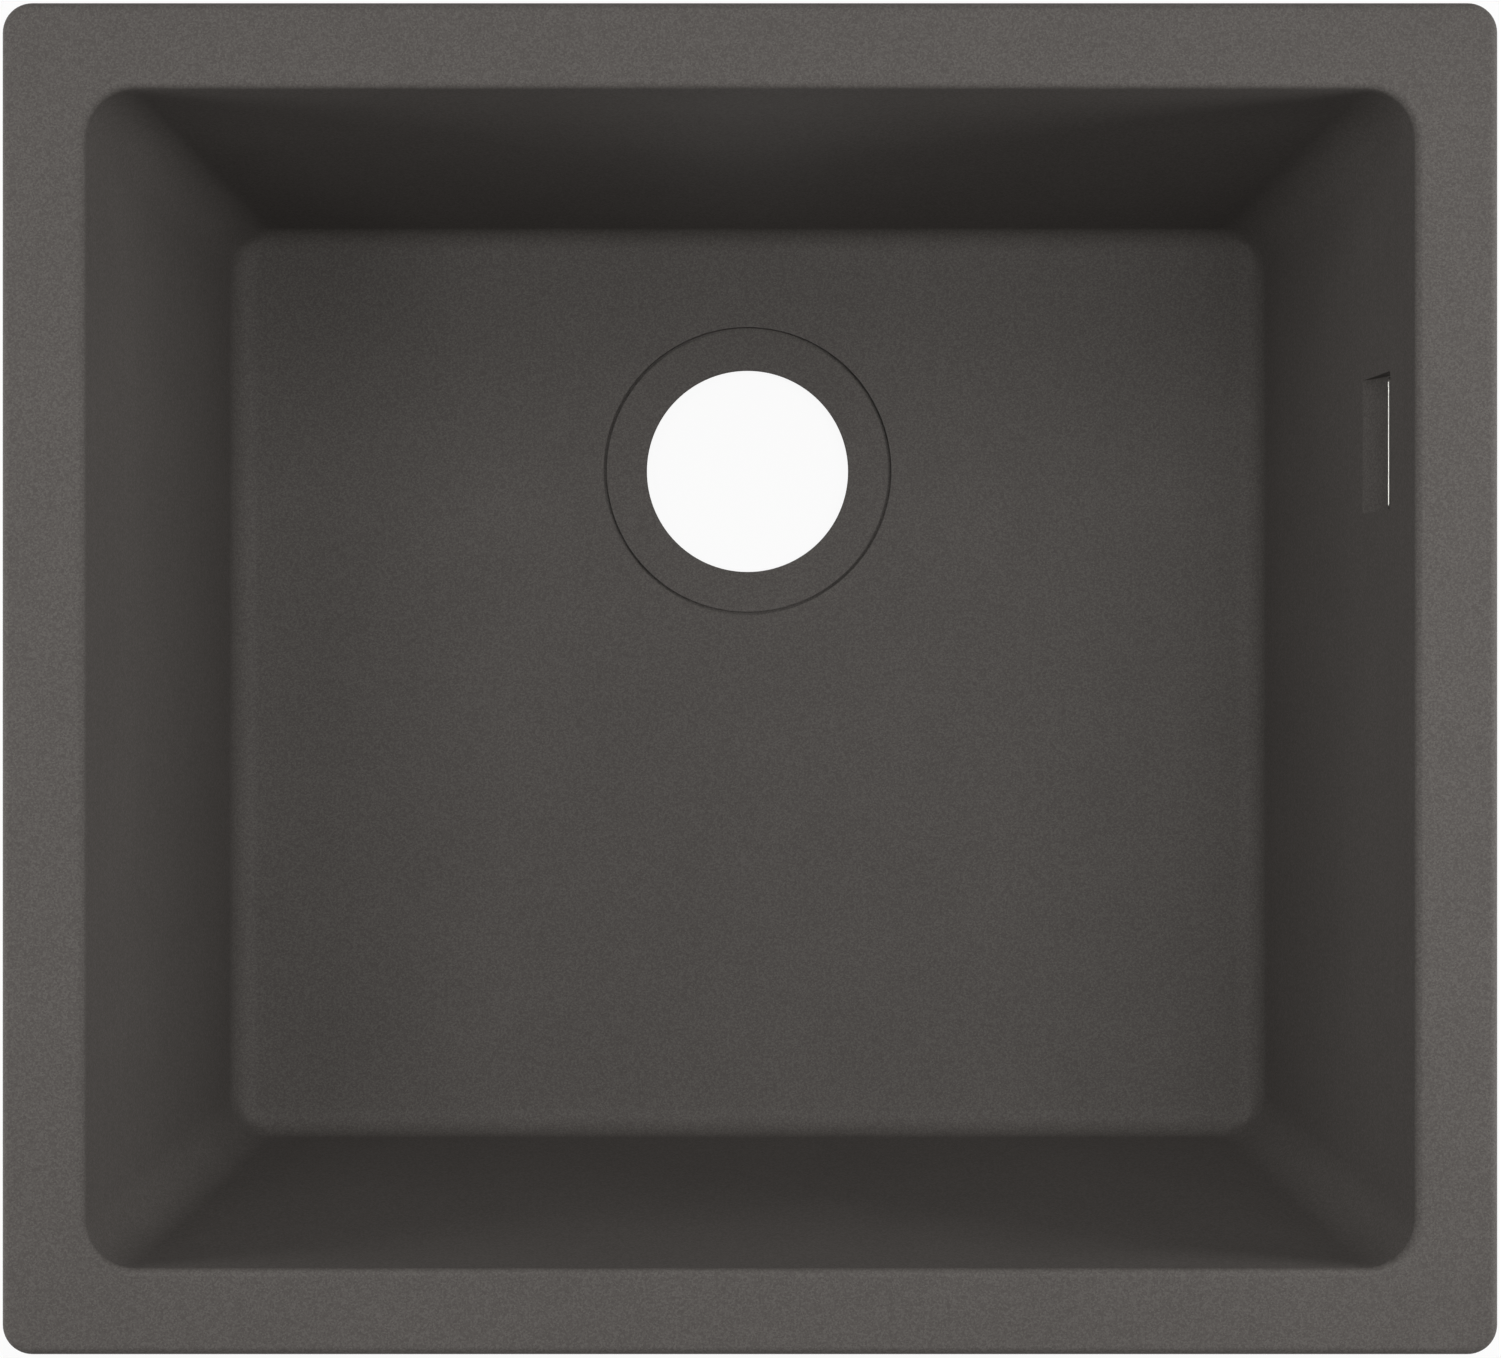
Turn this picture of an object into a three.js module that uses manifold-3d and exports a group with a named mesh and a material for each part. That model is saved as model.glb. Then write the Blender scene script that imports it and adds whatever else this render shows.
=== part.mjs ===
// Undermount kitchen sink: a moulded quartz-composite basin with a slot overflow in its right-hand wall
// and eight swing brackets under its rim. Millimetres, +Z up, the front of the sink towards -Y.
// The origin is below the centre of the sink, on the level of its underside.

import * as THREE from 'three';
import { mergeVertices } from 'three/addons/utils/BufferGeometryUtils.js';
import Module from 'manifold-3d';

const wasm = await Module();
wasm.setup();

// ---- driving dimensions ------------------------------------------------------------------------------
// A "depth" is measured down from the top of the rim.

const CLEARANCE = 0.3;             // gap left between two pieces that touch

// rim, 500 by 452 in all
const RIM_SIDE_BORDER = 28;        // edge of the rim to the bowl's wall, left and right
const RIM_END_BORDER = 29;         // the same, front and back
const RIM_THICKNESS = 12;
const RIM_CORNER_RADIUS = 10;      // corners of the rim, seen from above
const RIM_TOP_ROUND = 3;           // outer edge, upper side
const RIM_BOTTOM_ROUND = 2;        // outer edge, lower side

// bowl
const MOUTH_LENGTH = 444;          // along X, between the tops of the left and right walls
const MOUTH_WIDTH = 394;           // along Y, between the tops of the front and back walls
const MOUTH_ROUND = 5;             // rolled edge between rim and wall
const BOWL_CORNER_RADIUS = 18;     // upright corners of the bowl
const BOWL_DEPTH = 190;            // rim to floor, at the outlet
const WALL_DRAFT = 9;              // how far a wall leans in over the bowl's depth
const FLOOR_FALL = 2.5;            // floor at the walls above floor at the outlet
const FLOOR_FILLET = 20;           // between wall and floor
const FLOOR_CORNER_RADIUS = 5;     // corners of the flat floor, inside the fillet
const WALL_THICKNESS = 9;
const FLOOR_THICKNESS = 10;        // at the outlet
const UNDERSIDE_FILLET = 24;       // between outer wall and underside
const UNDERSIDE_CORNER_RADIUS = 4; // corners of the flat underside, inside that fillet
const RIM_ROOT_FILLET = 6;         // between outer wall and the rim's lower face

// outlet
const OUTLET_FROM_BACK = 112.7;    // middle of the outlet to the top of the back wall
const OUTLET_RADIUS = 40;
const OUTLET_EDGE_ROUND = 0.8;
const OUTLET_FLARE = 1.4;          // the hole is this much wider, in radius, at the underside
const SEAT_RADIUS = 57;            // seat of the waste's flange
const SEAT_DISH = 1.4;             // fall of the seat from its ring to the hole
const RING_GROOVE_WIDTH = 1.1;     // fine groove round the seat
const RING_GROOVE_DEPTH = 1.6;

// overflow recess and passage
const OVERFLOW_FROM_BACK = 114.4;  // middle of the slot to the top of the back wall
const SCOOP_MARGIN = 1;            // recess in the bowl's wall past the sleeve's top and ends
const SCOOP_LIP = 8.6;             // height of the recess's rounded lower lip, below the sleeve
const SCOOP_CORNER_RADIUS = 1.5;
const PAD_STAND = 4;               // flat on the outside, proud of the top of the wall
const PAD_MARGIN = 1.5;            // that flat past the gasket all round
const PAD_CORNER_RADIUS = 8;

// overflow sleeve
const SLEEVE_TOP_DEPTH = 33;
const SLEEVE_LENGTH = 45.5;        // along Y, outside
const SLEEVE_HEIGHT = 15.4;        // outside
const SLEEVE_CORNER_RADIUS = 1.4;
const SLEEVE_SHEET = 0.8;
const SLEEVE_INSET = 3.5;          // front of the sleeve behind the wall's face, at its lower leg
const SLEEVE_FLANGE = 4;           // turned out all round, behind the wall

// overflow gasket and collector
const GASKET_BAND = 3.5;           // sealing band past the sleeve's flange
const GASKET_THICKNESS = 3;
const GASKET_CORNER_RADIUS = 4;
const WINDOW_MARGIN = 0.8;         // opening in the gasket's lip and the collector's face, past the sleeve
const EAR_STAND = 5.75;            // collector screws beyond the ends of the gasket's frame
const EAR_RADIUS = 7;
const COLLECTOR_FLANGE = 2.5;
const COLLECTOR_WALL = 1.8;
const COLLECTOR_THICKNESS = 10.6;  // along X, face to back
const COLLECTOR_CORNER_RADIUS = 3;
const COLLECTOR_HEADROOM = 6;      // top of the chamber above the sleeve
const FUNNEL_DROP = 3.6;           // the chamber begins to narrow this far below the sleeve
const STEP_DROP = 2.4;             // the chamber steps in this far below the pad
const STEP_HEIGHT = 10;            // from that step to the chamber's floor
const SPIGOT_SET_IN = 9;           // axis of the spigot before the back of the collector
const SPIGOT_RADIUS = 8.2;
const SPIGOT_BORE = 6.3;
const SPIGOT_LENGTH = 22;
const BARB_HEIGHT = 0.7;
const BARB_PITCH = 5;
const BARB_COUNT = 3;
const COLLECTOR_INSERT = { radius: 3.3, bore: 2.3, length: 9, groove: 2, grooveDepth: 0.5 };
const COLLECTOR_SCREW = { radius: 2, length: 14, headRadius: 3.8, headHeight: 2.6 };

// rim fixings
const BRACKET_GAP = 1.4;           // folded bracket clear of the wall's top
const PIVOT_FROM_SIDE = 100;       // front and back pivots from the left and right edges of the rim
const PIVOT_FROM_END = 86;         // left and right pivots from the front and back edges of the rim
const BOSS_RADIUS = 7.5;
const BOSS_HEIGHT = 6;             // below the rim's lower face
const RIM_INSERT = { radius: 4.5, bore: 3.3, length: 9.7, groove: 2.2, grooveDepth: 0.6 };
const BRACKET_WIDTH = 16;
const BRACKET_REACH = 47;          // pivot to tip
const BRACKET_THICKNESS = 2.5;
const BRACKET_TIP_RADIUS = 4;
const BRACKET_HOLE_RADIUS = 3.3;
const BRACKET_SLOT_WIDTH = 6.6;
const BRACKET_SLOT_LENGTH = 20;
const BRACKET_SLOT_CENTRE = 29;    // from the pivot
const WASHER = { radius: 6, bore: 3.3, thickness: 1.2 };
const RIM_SCREW = { radius: 3, length: 13, headRadius: 5.77, headHeight: 4 };

// facets
const CORNER_STEPS = 10;           // in each upright corner of the basin
const ROUND_STEPS = 5;             // in each edge round
const FILLET_STEPS = 7;
const OUTLET_STEPS = 72;
const TURNED_STEPS = 16;           // round a screw, washer, insert or drilled hole
const HEXAGON = 6;

const MATERIALS = {
  composite: { color: 0x625f5b, roughness: 0.75, metalness: 0 },
  stainless: { color: 0xc4c2bd, roughness: 0.3, metalness: 1 },
  zinc: { color: 0xb3b5b6, roughness: 0.4, metalness: 1 },
  brass: { color: 0xb08d4f, roughness: 0.35, metalness: 1 },
  rubber: { color: 0x1f1f20, roughness: 0.85, metalness: 0 },
  plastic: { color: 0x2b2c2e, roughness: 0.6, metalness: 0 },
};

// ---- derived sizes -----------------------------------------------------------------------------------

const RIM_LENGTH = MOUTH_LENGTH + 2 * RIM_SIDE_BORDER;
const RIM_WIDTH = MOUTH_WIDTH + 2 * RIM_END_BORDER;
const RIM_TOP = BOWL_DEPTH + FLOOR_THICKNESS;
const atDepth = (depth) => RIM_TOP - depth;
const wallLean = (depth) => (WALL_DRAFT * (depth - MOUTH_ROUND)) / BOWL_DEPTH;
const wallFaceX = (depth) => MOUTH_LENGTH / 2 - wallLean(depth);
const OUTLET_SET_BACK = MOUTH_WIDTH / 2 - OUTLET_FROM_BACK;
const OVERFLOW_SET_BACK = MOUTH_WIDTH / 2 - OVERFLOW_FROM_BACK;

const SLEEVE_FLOOR_DEPTH = SLEEVE_TOP_DEPTH + SLEEVE_HEIGHT;
const SLEEVE_MIDDLE_DEPTH = SLEEVE_TOP_DEPTH + SLEEVE_HEIGHT / 2;
const SLEEVE_FRONT_X = wallFaceX(SLEEVE_FLOOR_DEPTH) + SLEEVE_INSET;
const SCOOP_LENGTH = SLEEVE_LENGTH + 2 * SCOOP_MARGIN;
const SCOOP_TOP_DEPTH = SLEEVE_TOP_DEPTH - SCOOP_MARGIN;
const SCOOP_FOOT_DEPTH = SLEEVE_FLOOR_DEPTH + SCOOP_LIP;
const WINDOW_LENGTH = SLEEVE_LENGTH + 2 * WINDOW_MARGIN;
const WINDOW_HEIGHT = SLEEVE_HEIGHT + 2 * WINDOW_MARGIN;
const PAD_FACE_X = MOUTH_LENGTH / 2 + WALL_THICKNESS + PAD_STAND;
const GASKET_FACE_X = PAD_FACE_X + CLEARANCE;
const GASKET_LENGTH = SLEEVE_LENGTH + 2 * (SLEEVE_FLANGE + GASKET_BAND);
const GASKET_HEIGHT = SLEEVE_HEIGHT + 2 * (SLEEVE_FLANGE + GASKET_BAND);
const EAR_SPACING = GASKET_LENGTH + 2 * EAR_STAND;
const EAR_OFFSETS = { front: -EAR_SPACING / 2, back: EAR_SPACING / 2 };
const PAD_LENGTH = EAR_SPACING + 2 * (EAR_RADIUS + PAD_MARGIN);
const PAD_HEIGHT = GASKET_HEIGHT + 2 * PAD_MARGIN;
const COLLECTOR_FACE_X = GASKET_FACE_X + GASKET_THICKNESS + CLEARANCE;
const COLLECTOR_BACK_X = COLLECTOR_FACE_X + COLLECTOR_THICKNESS;
const COLLECTOR_LENGTH = SLEEVE_LENGTH + 2 * SLEEVE_FLANGE;
const COLLECTOR_TOP_DEPTH = SLEEVE_TOP_DEPTH - COLLECTOR_HEADROOM;
const FUNNEL_TOP_DEPTH = SLEEVE_FLOOR_DEPTH + FUNNEL_DROP;
const STEP_DEPTH = SLEEVE_MIDDLE_DEPTH + PAD_HEIGHT / 2 + STEP_DROP;
const CHAMBER_FLOOR_DEPTH = STEP_DEPTH + STEP_HEIGHT;
const SPIGOT_X = COLLECTOR_BACK_X - SPIGOT_SET_IN;

const BOSS_DEPTH = RIM_THICKNESS + BOSS_HEIGHT;
const BRACKET_TOP = atDepth(BOSS_DEPTH) - CLEARANCE;
const WASHER_TOP = BRACKET_TOP - BRACKET_THICKNESS - CLEARANCE;
const SCREW_SEAT = WASHER_TOP - WASHER.thickness - CLEARANCE;

// The eight fixings: where each pivot is, which way is out of the sink, and which way the folded
// bracket points. Angles are quarter turns from +X.
const [RIGHT, BACK, LEFT, FRONT] = [0, 1, 2, 3];
const PIVOT_X = RIM_LENGTH / 2 - PIVOT_FROM_SIDE;
const PIVOT_Y = RIM_WIDTH / 2 - PIVOT_FROM_END;
const PIVOT_STAND = WALL_THICKNESS + BRACKET_GAP + BRACKET_WIDTH / 2;
const PIVOT_EDGE_X = MOUTH_LENGTH / 2 + PIVOT_STAND;
const PIVOT_EDGE_Y = MOUTH_WIDTH / 2 + PIVOT_STAND;
const FIXINGS = {
  front_left: { x: -PIVOT_X, y: -PIVOT_EDGE_Y, out: FRONT, folded: LEFT },
  front_right: { x: PIVOT_X, y: -PIVOT_EDGE_Y, out: FRONT, folded: RIGHT },
  back_left: { x: -PIVOT_X, y: PIVOT_EDGE_Y, out: BACK, folded: LEFT },
  back_right: { x: PIVOT_X, y: PIVOT_EDGE_Y, out: BACK, folded: RIGHT },
  left_front: { x: -PIVOT_EDGE_X, y: -PIVOT_Y, out: LEFT, folded: FRONT },
  left_back: { x: -PIVOT_EDGE_X, y: PIVOT_Y, out: LEFT, folded: BACK },
  right_front: { x: PIVOT_EDGE_X, y: -PIVOT_Y, out: RIGHT, folded: FRONT },
  right_back: { x: PIVOT_EDGE_X, y: PIVOT_Y, out: RIGHT, folded: BACK },
};
const quarterTurns = (count) => (count * Math.PI) / 2;

// ---- outlines ----------------------------------------------------------------------------------------

// Points on an arc, both ends included. Angles in quarter turns.
function arc(x, y, radius, from, to, steps) {
  return Array.from({ length: steps + 1 }, (_, step) => {
    const angle = quarterTurns(from + ((to - from) * step) / steps);
    return new THREE.Vector2(x + radius * Math.cos(angle), y + radius * Math.sin(angle));
  });
}

function roundedRectangle(length, width, radius, steps) {
  const [x, y] = [length / 2 - radius, width / 2 - radius];
  return [
    ...arc(x, y, radius, 0, 1, steps),
    ...arc(-x, y, radius, 1, 2, steps),
    ...arc(-x, -y, radius, 2, 3, steps),
    ...arc(x, -y, radius, 3, 4, steps),
  ];
}

const circle = (x, y, radius, steps = TURNED_STEPS) => arc(x, y, radius, 0, 4, steps).slice(0, -1);

// A quarter round from 0 to 1: how far across and how far down it has gone.
function quarterRound(radius, steps) {
  return arc(0, 0, radius, 1, 0, steps).map(({ x, y }) => ({ across: x, down: radius - y }));
}

// ---- solids ------------------------------------------------------------------------------------------

function toSolid(geometry) {
  const bare = geometry.clone();
  bare.deleteAttribute('normal');
  bare.deleteAttribute('uv');
  const { index, attributes } = mergeVertices(bare, 1e-4);
  const corners = [];
  for (let k = 0; k < index.count; k += 3) {
    const [a, b, c] = [index.getX(k), index.getX(k + 1), index.getX(k + 2)];
    if (a !== b && b !== c && c !== a) corners.push(a, b, c);
  }
  return new wasm.Manifold(new wasm.Mesh({
    numProp: 3,
    vertProperties: new Float32Array(attributes.position.array),
    triVerts: new Uint32Array(corners),
  }));
}

function toGeometry(solid) {
  const mesh = solid.getMesh();
  const geometry = new THREE.BufferGeometry();
  geometry.setAttribute('position', new THREE.Float32BufferAttribute(mesh.vertProperties, 3));
  geometry.setIndex([...mesh.triVerts]);
  return geometry;
}

const join = (...solids) => solids.reduce((all, next) => all.add(next));
const cut = (solid, ...tools) => tools.reduce((left, tool) => left.subtract(tool), solid);

// A flat outline standing up along +Z from height 0.
function upright(outline, height) {
  return new THREE.ExtrudeGeometry(new THREE.Shape(outline), { depth: height, bevelEnabled: false });
}

// An outline drawn as seen from the bowl's right-hand side (Y across, Z up, 0 at the middle of the
// overflow), made solid between two places along X.
function acrossWall(outline, fromX, toX) {
  const turn = new THREE.Matrix4().makeBasis(
    new THREE.Vector3(0, 1, 0),
    new THREE.Vector3(0, 0, 1),
    new THREE.Vector3(1, 0, 0),
  );
  const geometry = upright(outline, toX - fromX).applyMatrix4(turn);
  return toSolid(geometry.translate(fromX, OVERFLOW_SET_BACK, atDepth(SLEEVE_MIDDLE_DEPTH)));
}

// A section through the wall, of [x, depth] points, made solid along Y and centred on the overflow.
function alongWall(section, length) {
  const turn = new THREE.Matrix4().makeBasis(
    new THREE.Vector3(1, 0, 0),
    new THREE.Vector3(0, 0, 1),
    new THREE.Vector3(0, -1, 0),
  );
  const outline = section.map(([x, depth]) => new THREE.Vector2(x, atDepth(depth)));
  const geometry = upright(outline, length).applyMatrix4(turn);
  return toSolid(geometry.translate(0, OVERFLOW_SET_BACK + length / 2, 0));
}

// A piece turned about +Z. The profile of [radius, height] points runs up the outside and down the inside.
function turned(profile, steps = TURNED_STEPS) {
  const points = [...profile, profile[0]].map(([radius, height]) => new THREE.Vector2(radius, height));
  return toSolid(new THREE.LatheGeometry(points, steps).rotateX(quarterTurns(1)));
}

const rod = (radius, from, to, steps) => (
  turned([[0, from], [radius, from], [radius, to], [0, to]], steps)
);

// Turns a piece made along +Z to lie along -X, at an ear of the collector.
const atEar = (solid, x, side) => solid.rotate([0, -90, 0])
  .translate([x, OVERFLOW_SET_BACK + EAR_OFFSETS[side], atDepth(SLEEVE_MIDDLE_DEPTH)]);

// ---- basin -------------------------------------------------------------------------------------------

const loopAt = (outline, depth) => outline.map(({ x, y }) => new THREE.Vector3(x, y, atDepth(depth)));
const levelLoop = (halfX, halfY, radius, depth) => (
  loopAt(roundedRectangle(2 * halfX, 2 * halfY, radius, CORNER_STEPS), depth)
);
const outletLoop = (radius, depth) => loopAt(circle(0, OUTLET_SET_BACK, radius, OUTLET_STEPS), depth);

// The points of a loop in order of their direction from the outlet, with the first one again at the end.
function aroundOutlet(loop) {
  const direction = ({ x, y }) => Math.atan2(y - OUTLET_SET_BACK, x);
  const points = [...loop].sort((a, b) => direction(a) - direction(b));
  return [...points, points[0]];
}

// Triangles between two loops that go round the outlet and may have different numbers of points. Each
// takes the shorter of the two edges that could come next, so that none of them crosses the outlet.
function bridge(loop, next) {
  const [a, b] = [aroundOutlet(loop), aroundOutlet(next)];
  const triangles = [];
  let [i, j] = [0, 0];
  while (i < a.length - 1 || j < b.length - 1) {
    const shorter = i < a.length - 1 && j < b.length - 1
      && a[i + 1].distanceTo(b[j]) <= a[i].distanceTo(b[j + 1]);
    const onLoop = j === b.length - 1 || shorter;
    triangles.push([a[i], onLoop ? a[i + 1] : b[j + 1], b[j]]);
    i += onLoop ? 1 : 0;
    j += onLoop ? 0 : 1;
  }
  return triangles;
}

function band(loop, next) {
  if (loop.length !== next.length) return bridge(loop, next);
  return loop.flatMap((point, k) => {
    const after = (k + 1) % loop.length;
    return [[point, loop[after], next[after]], [point, next[after], next[k]]];
  });
}

// The closed skin through a series of level loops, the last joined to the first.
function skin(loops) {
  const triangles = loops.flatMap((loop, k) => band(loop, loops[(k + 1) % loops.length]));
  const geometry = new THREE.BufferGeometry().setFromPoints(triangles.flat());
  return toSolid(mergeVertices(geometry, 1e-4));
}

// The casting without its overflow: over the rim, down the bowl, out of the outlet and up the outside.
function castShell() {
  const [rimX, rimY] = [RIM_LENGTH / 2, RIM_WIDTH / 2];
  const [mouthX, mouthY] = [MOUTH_LENGTH / 2, MOUTH_WIDTH / 2];
  const rimLoop = (inset, depth) => (
    levelLoop(rimX - inset, rimY - inset, RIM_CORNER_RADIUS - inset, depth)
  );
  const bowlLoop = (inset, radius, depth) => levelLoop(mouthX - inset, mouthY - inset, radius, depth);
  const outerCorner = BOWL_CORNER_RADIUS + WALL_THICKNESS;
  const outerLoop = (inset, radius, depth) => bowlLoop(inset - WALL_THICKNESS, radius, depth);

  const rimEdge = [
    ...quarterRound(RIM_BOTTOM_ROUND, ROUND_STEPS).map(({ across, down }) => (
      rimLoop(RIM_BOTTOM_ROUND - across, RIM_THICKNESS - down))),
    ...quarterRound(RIM_TOP_ROUND, ROUND_STEPS).reverse().map(({ across, down }) => (
      rimLoop(RIM_TOP_ROUND - across, down))),
  ];

  const mouth = quarterRound(MOUTH_ROUND, ROUND_STEPS).map(({ across, down }) => {
    const outset = MOUTH_ROUND - across;
    return bowlLoop(-outset, BOWL_CORNER_RADIUS + outset, down);
  });

  const floorDepth = BOWL_DEPTH - FLOOR_FALL;
  const wallFoot = wallLean(floorDepth - FLOOR_FILLET);
  const floorFillet = quarterRound(FLOOR_FILLET, FILLET_STEPS).reverse().map(({ across, down }) => {
    const inset = FLOOR_FILLET - across;
    const radius = THREE.MathUtils.lerp(BOWL_CORNER_RADIUS, FLOOR_CORNER_RADIUS, inset / FLOOR_FILLET);
    return bowlLoop(wallFoot + inset, radius, floorDepth - down);
  });

  const holeDepth = BOWL_DEPTH + SEAT_DISH;
  const outlet = [
    outletLoop(SEAT_RADIUS, BOWL_DEPTH),
    outletLoop(SEAT_RADIUS, BOWL_DEPTH + RING_GROOVE_DEPTH),
    outletLoop(SEAT_RADIUS - RING_GROOVE_WIDTH, BOWL_DEPTH + RING_GROOVE_DEPTH),
    outletLoop(SEAT_RADIUS - RING_GROOVE_WIDTH, BOWL_DEPTH),
    outletLoop(OUTLET_RADIUS + OUTLET_EDGE_ROUND, holeDepth),
    outletLoop(OUTLET_RADIUS, holeDepth + OUTLET_EDGE_ROUND),
    outletLoop(OUTLET_RADIUS + OUTLET_FLARE, RIM_TOP),
  ];

  const outerFoot = wallLean(RIM_TOP - UNDERSIDE_FILLET);
  const underside = quarterRound(UNDERSIDE_FILLET, FILLET_STEPS).map(({ across, down }) => {
    const inset = UNDERSIDE_FILLET - across;
    const radius = THREE.MathUtils.lerp(outerCorner, UNDERSIDE_CORNER_RADIUS, inset / UNDERSIDE_FILLET);
    return outerLoop(outerFoot + inset, radius, RIM_TOP - down);
  });

  const rootDepth = RIM_THICKNESS + RIM_ROOT_FILLET;
  const rimRoot = quarterRound(RIM_ROOT_FILLET, ROUND_STEPS).map(({ across, down }) => (
    outerLoop(wallLean(rootDepth) - down, outerCorner + down, rootDepth - across)));

  return skin([rimEdge, mouth, floorFillet, outlet, underside, rimRoot].flat());
}

// The recess in the wall's face: a flat upper lip, a flat back round the sleeve and a rounded lower lip.
function overflowScoop() {
  const back = SLEEVE_FRONT_X + CLEARANCE;
  const backFoot = SLEEVE_FLOOR_DEPTH + CLEARANCE;
  const foot = wallFaceX(SCOOP_FOOT_DEPTH);
  const inBowl = foot - SLEEVE_INSET;
  const lowerLip = new THREE.QuadraticBezierCurve(
    new THREE.Vector2(foot, SCOOP_FOOT_DEPTH),
    new THREE.Vector2(wallFaceX(backFoot), backFoot),
    new THREE.Vector2(back, backFoot),
  ).getPoints(ROUND_STEPS).map(({ x, y }) => [x, y]);
  const section = [
    [inBowl, SCOOP_FOOT_DEPTH],
    ...lowerLip,
    [back, SCOOP_TOP_DEPTH],
    [inBowl, SCOOP_TOP_DEPTH],
  ];
  const height = SCOOP_FOOT_DEPTH - SCOOP_TOP_DEPTH;
  const ends = acrossWall(
    roundedRectangle(SCOOP_LENGTH, height, SCOOP_CORNER_RADIUS, ROUND_STEPS),
    inBowl - CLEARANCE,
    back + CLEARANCE,
  ).translate([0, 0, SLEEVE_MIDDLE_DEPTH - (SCOOP_TOP_DEPTH + height / 2)]);
  return alongWall(section, SCOOP_LENGTH + CLEARANCE).intersect(ends);
}

// A rounded block between two places along X, as large as the sleeve and a margin all round.
const sleeveBlock = (margin, fromX, toX) => acrossWall(
  roundedRectangle(
    SLEEVE_LENGTH + 2 * margin,
    SLEEVE_HEIGHT + 2 * margin,
    Math.max(SLEEVE_CORNER_RADIUS + margin, 0),
    ROUND_STEPS - 2,
  ),
  fromX,
  toX,
);

const overflowPad = () => acrossWall(
  roundedRectangle(PAD_LENGTH, PAD_HEIGHT, PAD_CORNER_RADIUS, ROUND_STEPS),
  wallFaceX(SLEEVE_MIDDLE_DEPTH) + WALL_THICKNESS / 2,
  PAD_FACE_X,
);

// The boss under the rim that holds a fixing's insert, run back into the wall.
function rimBoss({ x, y, out }) {
  const wallX = wallFaceX(BOSS_DEPTH) + WALL_THICKNESS / 2;
  const wallY = wallX + (MOUTH_WIDTH - MOUTH_LENGTH) / 2;
  const root = out === LEFT || out === RIGHT ? PIVOT_EDGE_X - wallX : PIVOT_EDGE_Y - wallY;
  const outline = [
    new THREE.Vector2(-root, -BOSS_RADIUS),
    ...arc(0, 0, BOSS_RADIUS, -1, 1, TURNED_STEPS / 2),
    new THREE.Vector2(-root, BOSS_RADIUS),
  ];
  const height = BOSS_DEPTH - RIM_THICKNESS / 2;
  return toSolid(upright(outline, height).rotateZ(quarterTurns(out)).translate(x, y, atDepth(BOSS_DEPTH)));
}

// A blind hole for an insert, going up from height 0.
const insertPocket = ({ radius, length }) => (
  rod(radius + CLEARANCE, -CLEARANCE, length + 2 * CLEARANCE)
);

function basin() {
  const fixings = Object.values(FIXINGS);
  const casting = join(castShell(), overflowPad(), ...fixings.map(rimBoss));
  return cut(
    casting,
    overflowScoop(),
    sleeveBlock(CLEARANCE, SLEEVE_FRONT_X, PAD_FACE_X + CLEARANCE),
    ...fixings.map(({ x, y }) => insertPocket(RIM_INSERT).translate([x, y, atDepth(BOSS_DEPTH)])),
    ...Object.keys(EAR_OFFSETS).map((side) => atEar(insertPocket(COLLECTOR_INSERT), PAD_FACE_X, side)),
  );
}

// ---- overflow ----------------------------------------------------------------------------------------

// Folded sheet that lines the passage, with a flange turned out behind the wall.
function overflowSleeve() {
  const flangeFace = PAD_FACE_X + CLEARANCE;
  const flangeBack = flangeFace + SLEEVE_SHEET;
  return cut(
    join(
      sleeveBlock(0, SLEEVE_FRONT_X, flangeBack),
      sleeveBlock(SLEEVE_FLANGE, flangeFace, flangeBack),
    ),
    sleeveBlock(-SLEEVE_SHEET, SLEEVE_FRONT_X - CLEARANCE, flangeBack + CLEARANCE),
  );
}

// The outline shared by the gasket and the collector's flange: a plate with an ear at each end.
function earedPlate(fromX, toX) {
  const [x, y] = [GASKET_LENGTH / 2 - GASKET_CORNER_RADIUS, GASKET_HEIGHT / 2 - GASKET_CORNER_RADIUS];
  const earX = EAR_SPACING / 2;
  const corner = GASKET_CORNER_RADIUS;
  return acrossWall([
    ...arc(earX, 0, EAR_RADIUS, -2 / 3, 2 / 3, ROUND_STEPS),
    ...arc(x, y, corner, 2 / 3, 1, 2),
    ...arc(-x, y, corner, 1, 4 / 3, 2),
    ...arc(-earX, 0, EAR_RADIUS, 4 / 3, 8 / 3, ROUND_STEPS),
    ...arc(-x, -y, corner, 8 / 3, 3, 2),
    ...arc(x, -y, corner, 3, 10 / 3, 2),
  ], fromX, toX);
}

const screwHoles = (fromX, toX) => Object.values(EAR_OFFSETS).map((offset) => (
  acrossWall(circle(offset, 0, COLLECTOR_SCREW.radius + CLEARANCE), fromX, toX)
));

const windowBlock = (fromX, toX) => acrossWall(
  roundedRectangle(WINDOW_LENGTH, WINDOW_HEIGHT, SLEEVE_CORNER_RADIUS, ROUND_STEPS - 2),
  fromX,
  toX,
);

// A frame that seals against the pad, with an inner lip that traps the sleeve's flange.
function overflowGasket() {
  const back = GASKET_FACE_X + GASKET_THICKNESS;
  const before = GASKET_FACE_X - CLEARANCE;
  const lipFace = GASKET_FACE_X + SLEEVE_SHEET + CLEARANCE;
  return cut(
    earedPlate(GASKET_FACE_X, back),
    sleeveBlock(SLEEVE_FLANGE + CLEARANCE, before, lipFace),
    windowBlock(before, back + CLEARANCE),
    ...screwHoles(before, back + CLEARANCE),
  );
}

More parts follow.
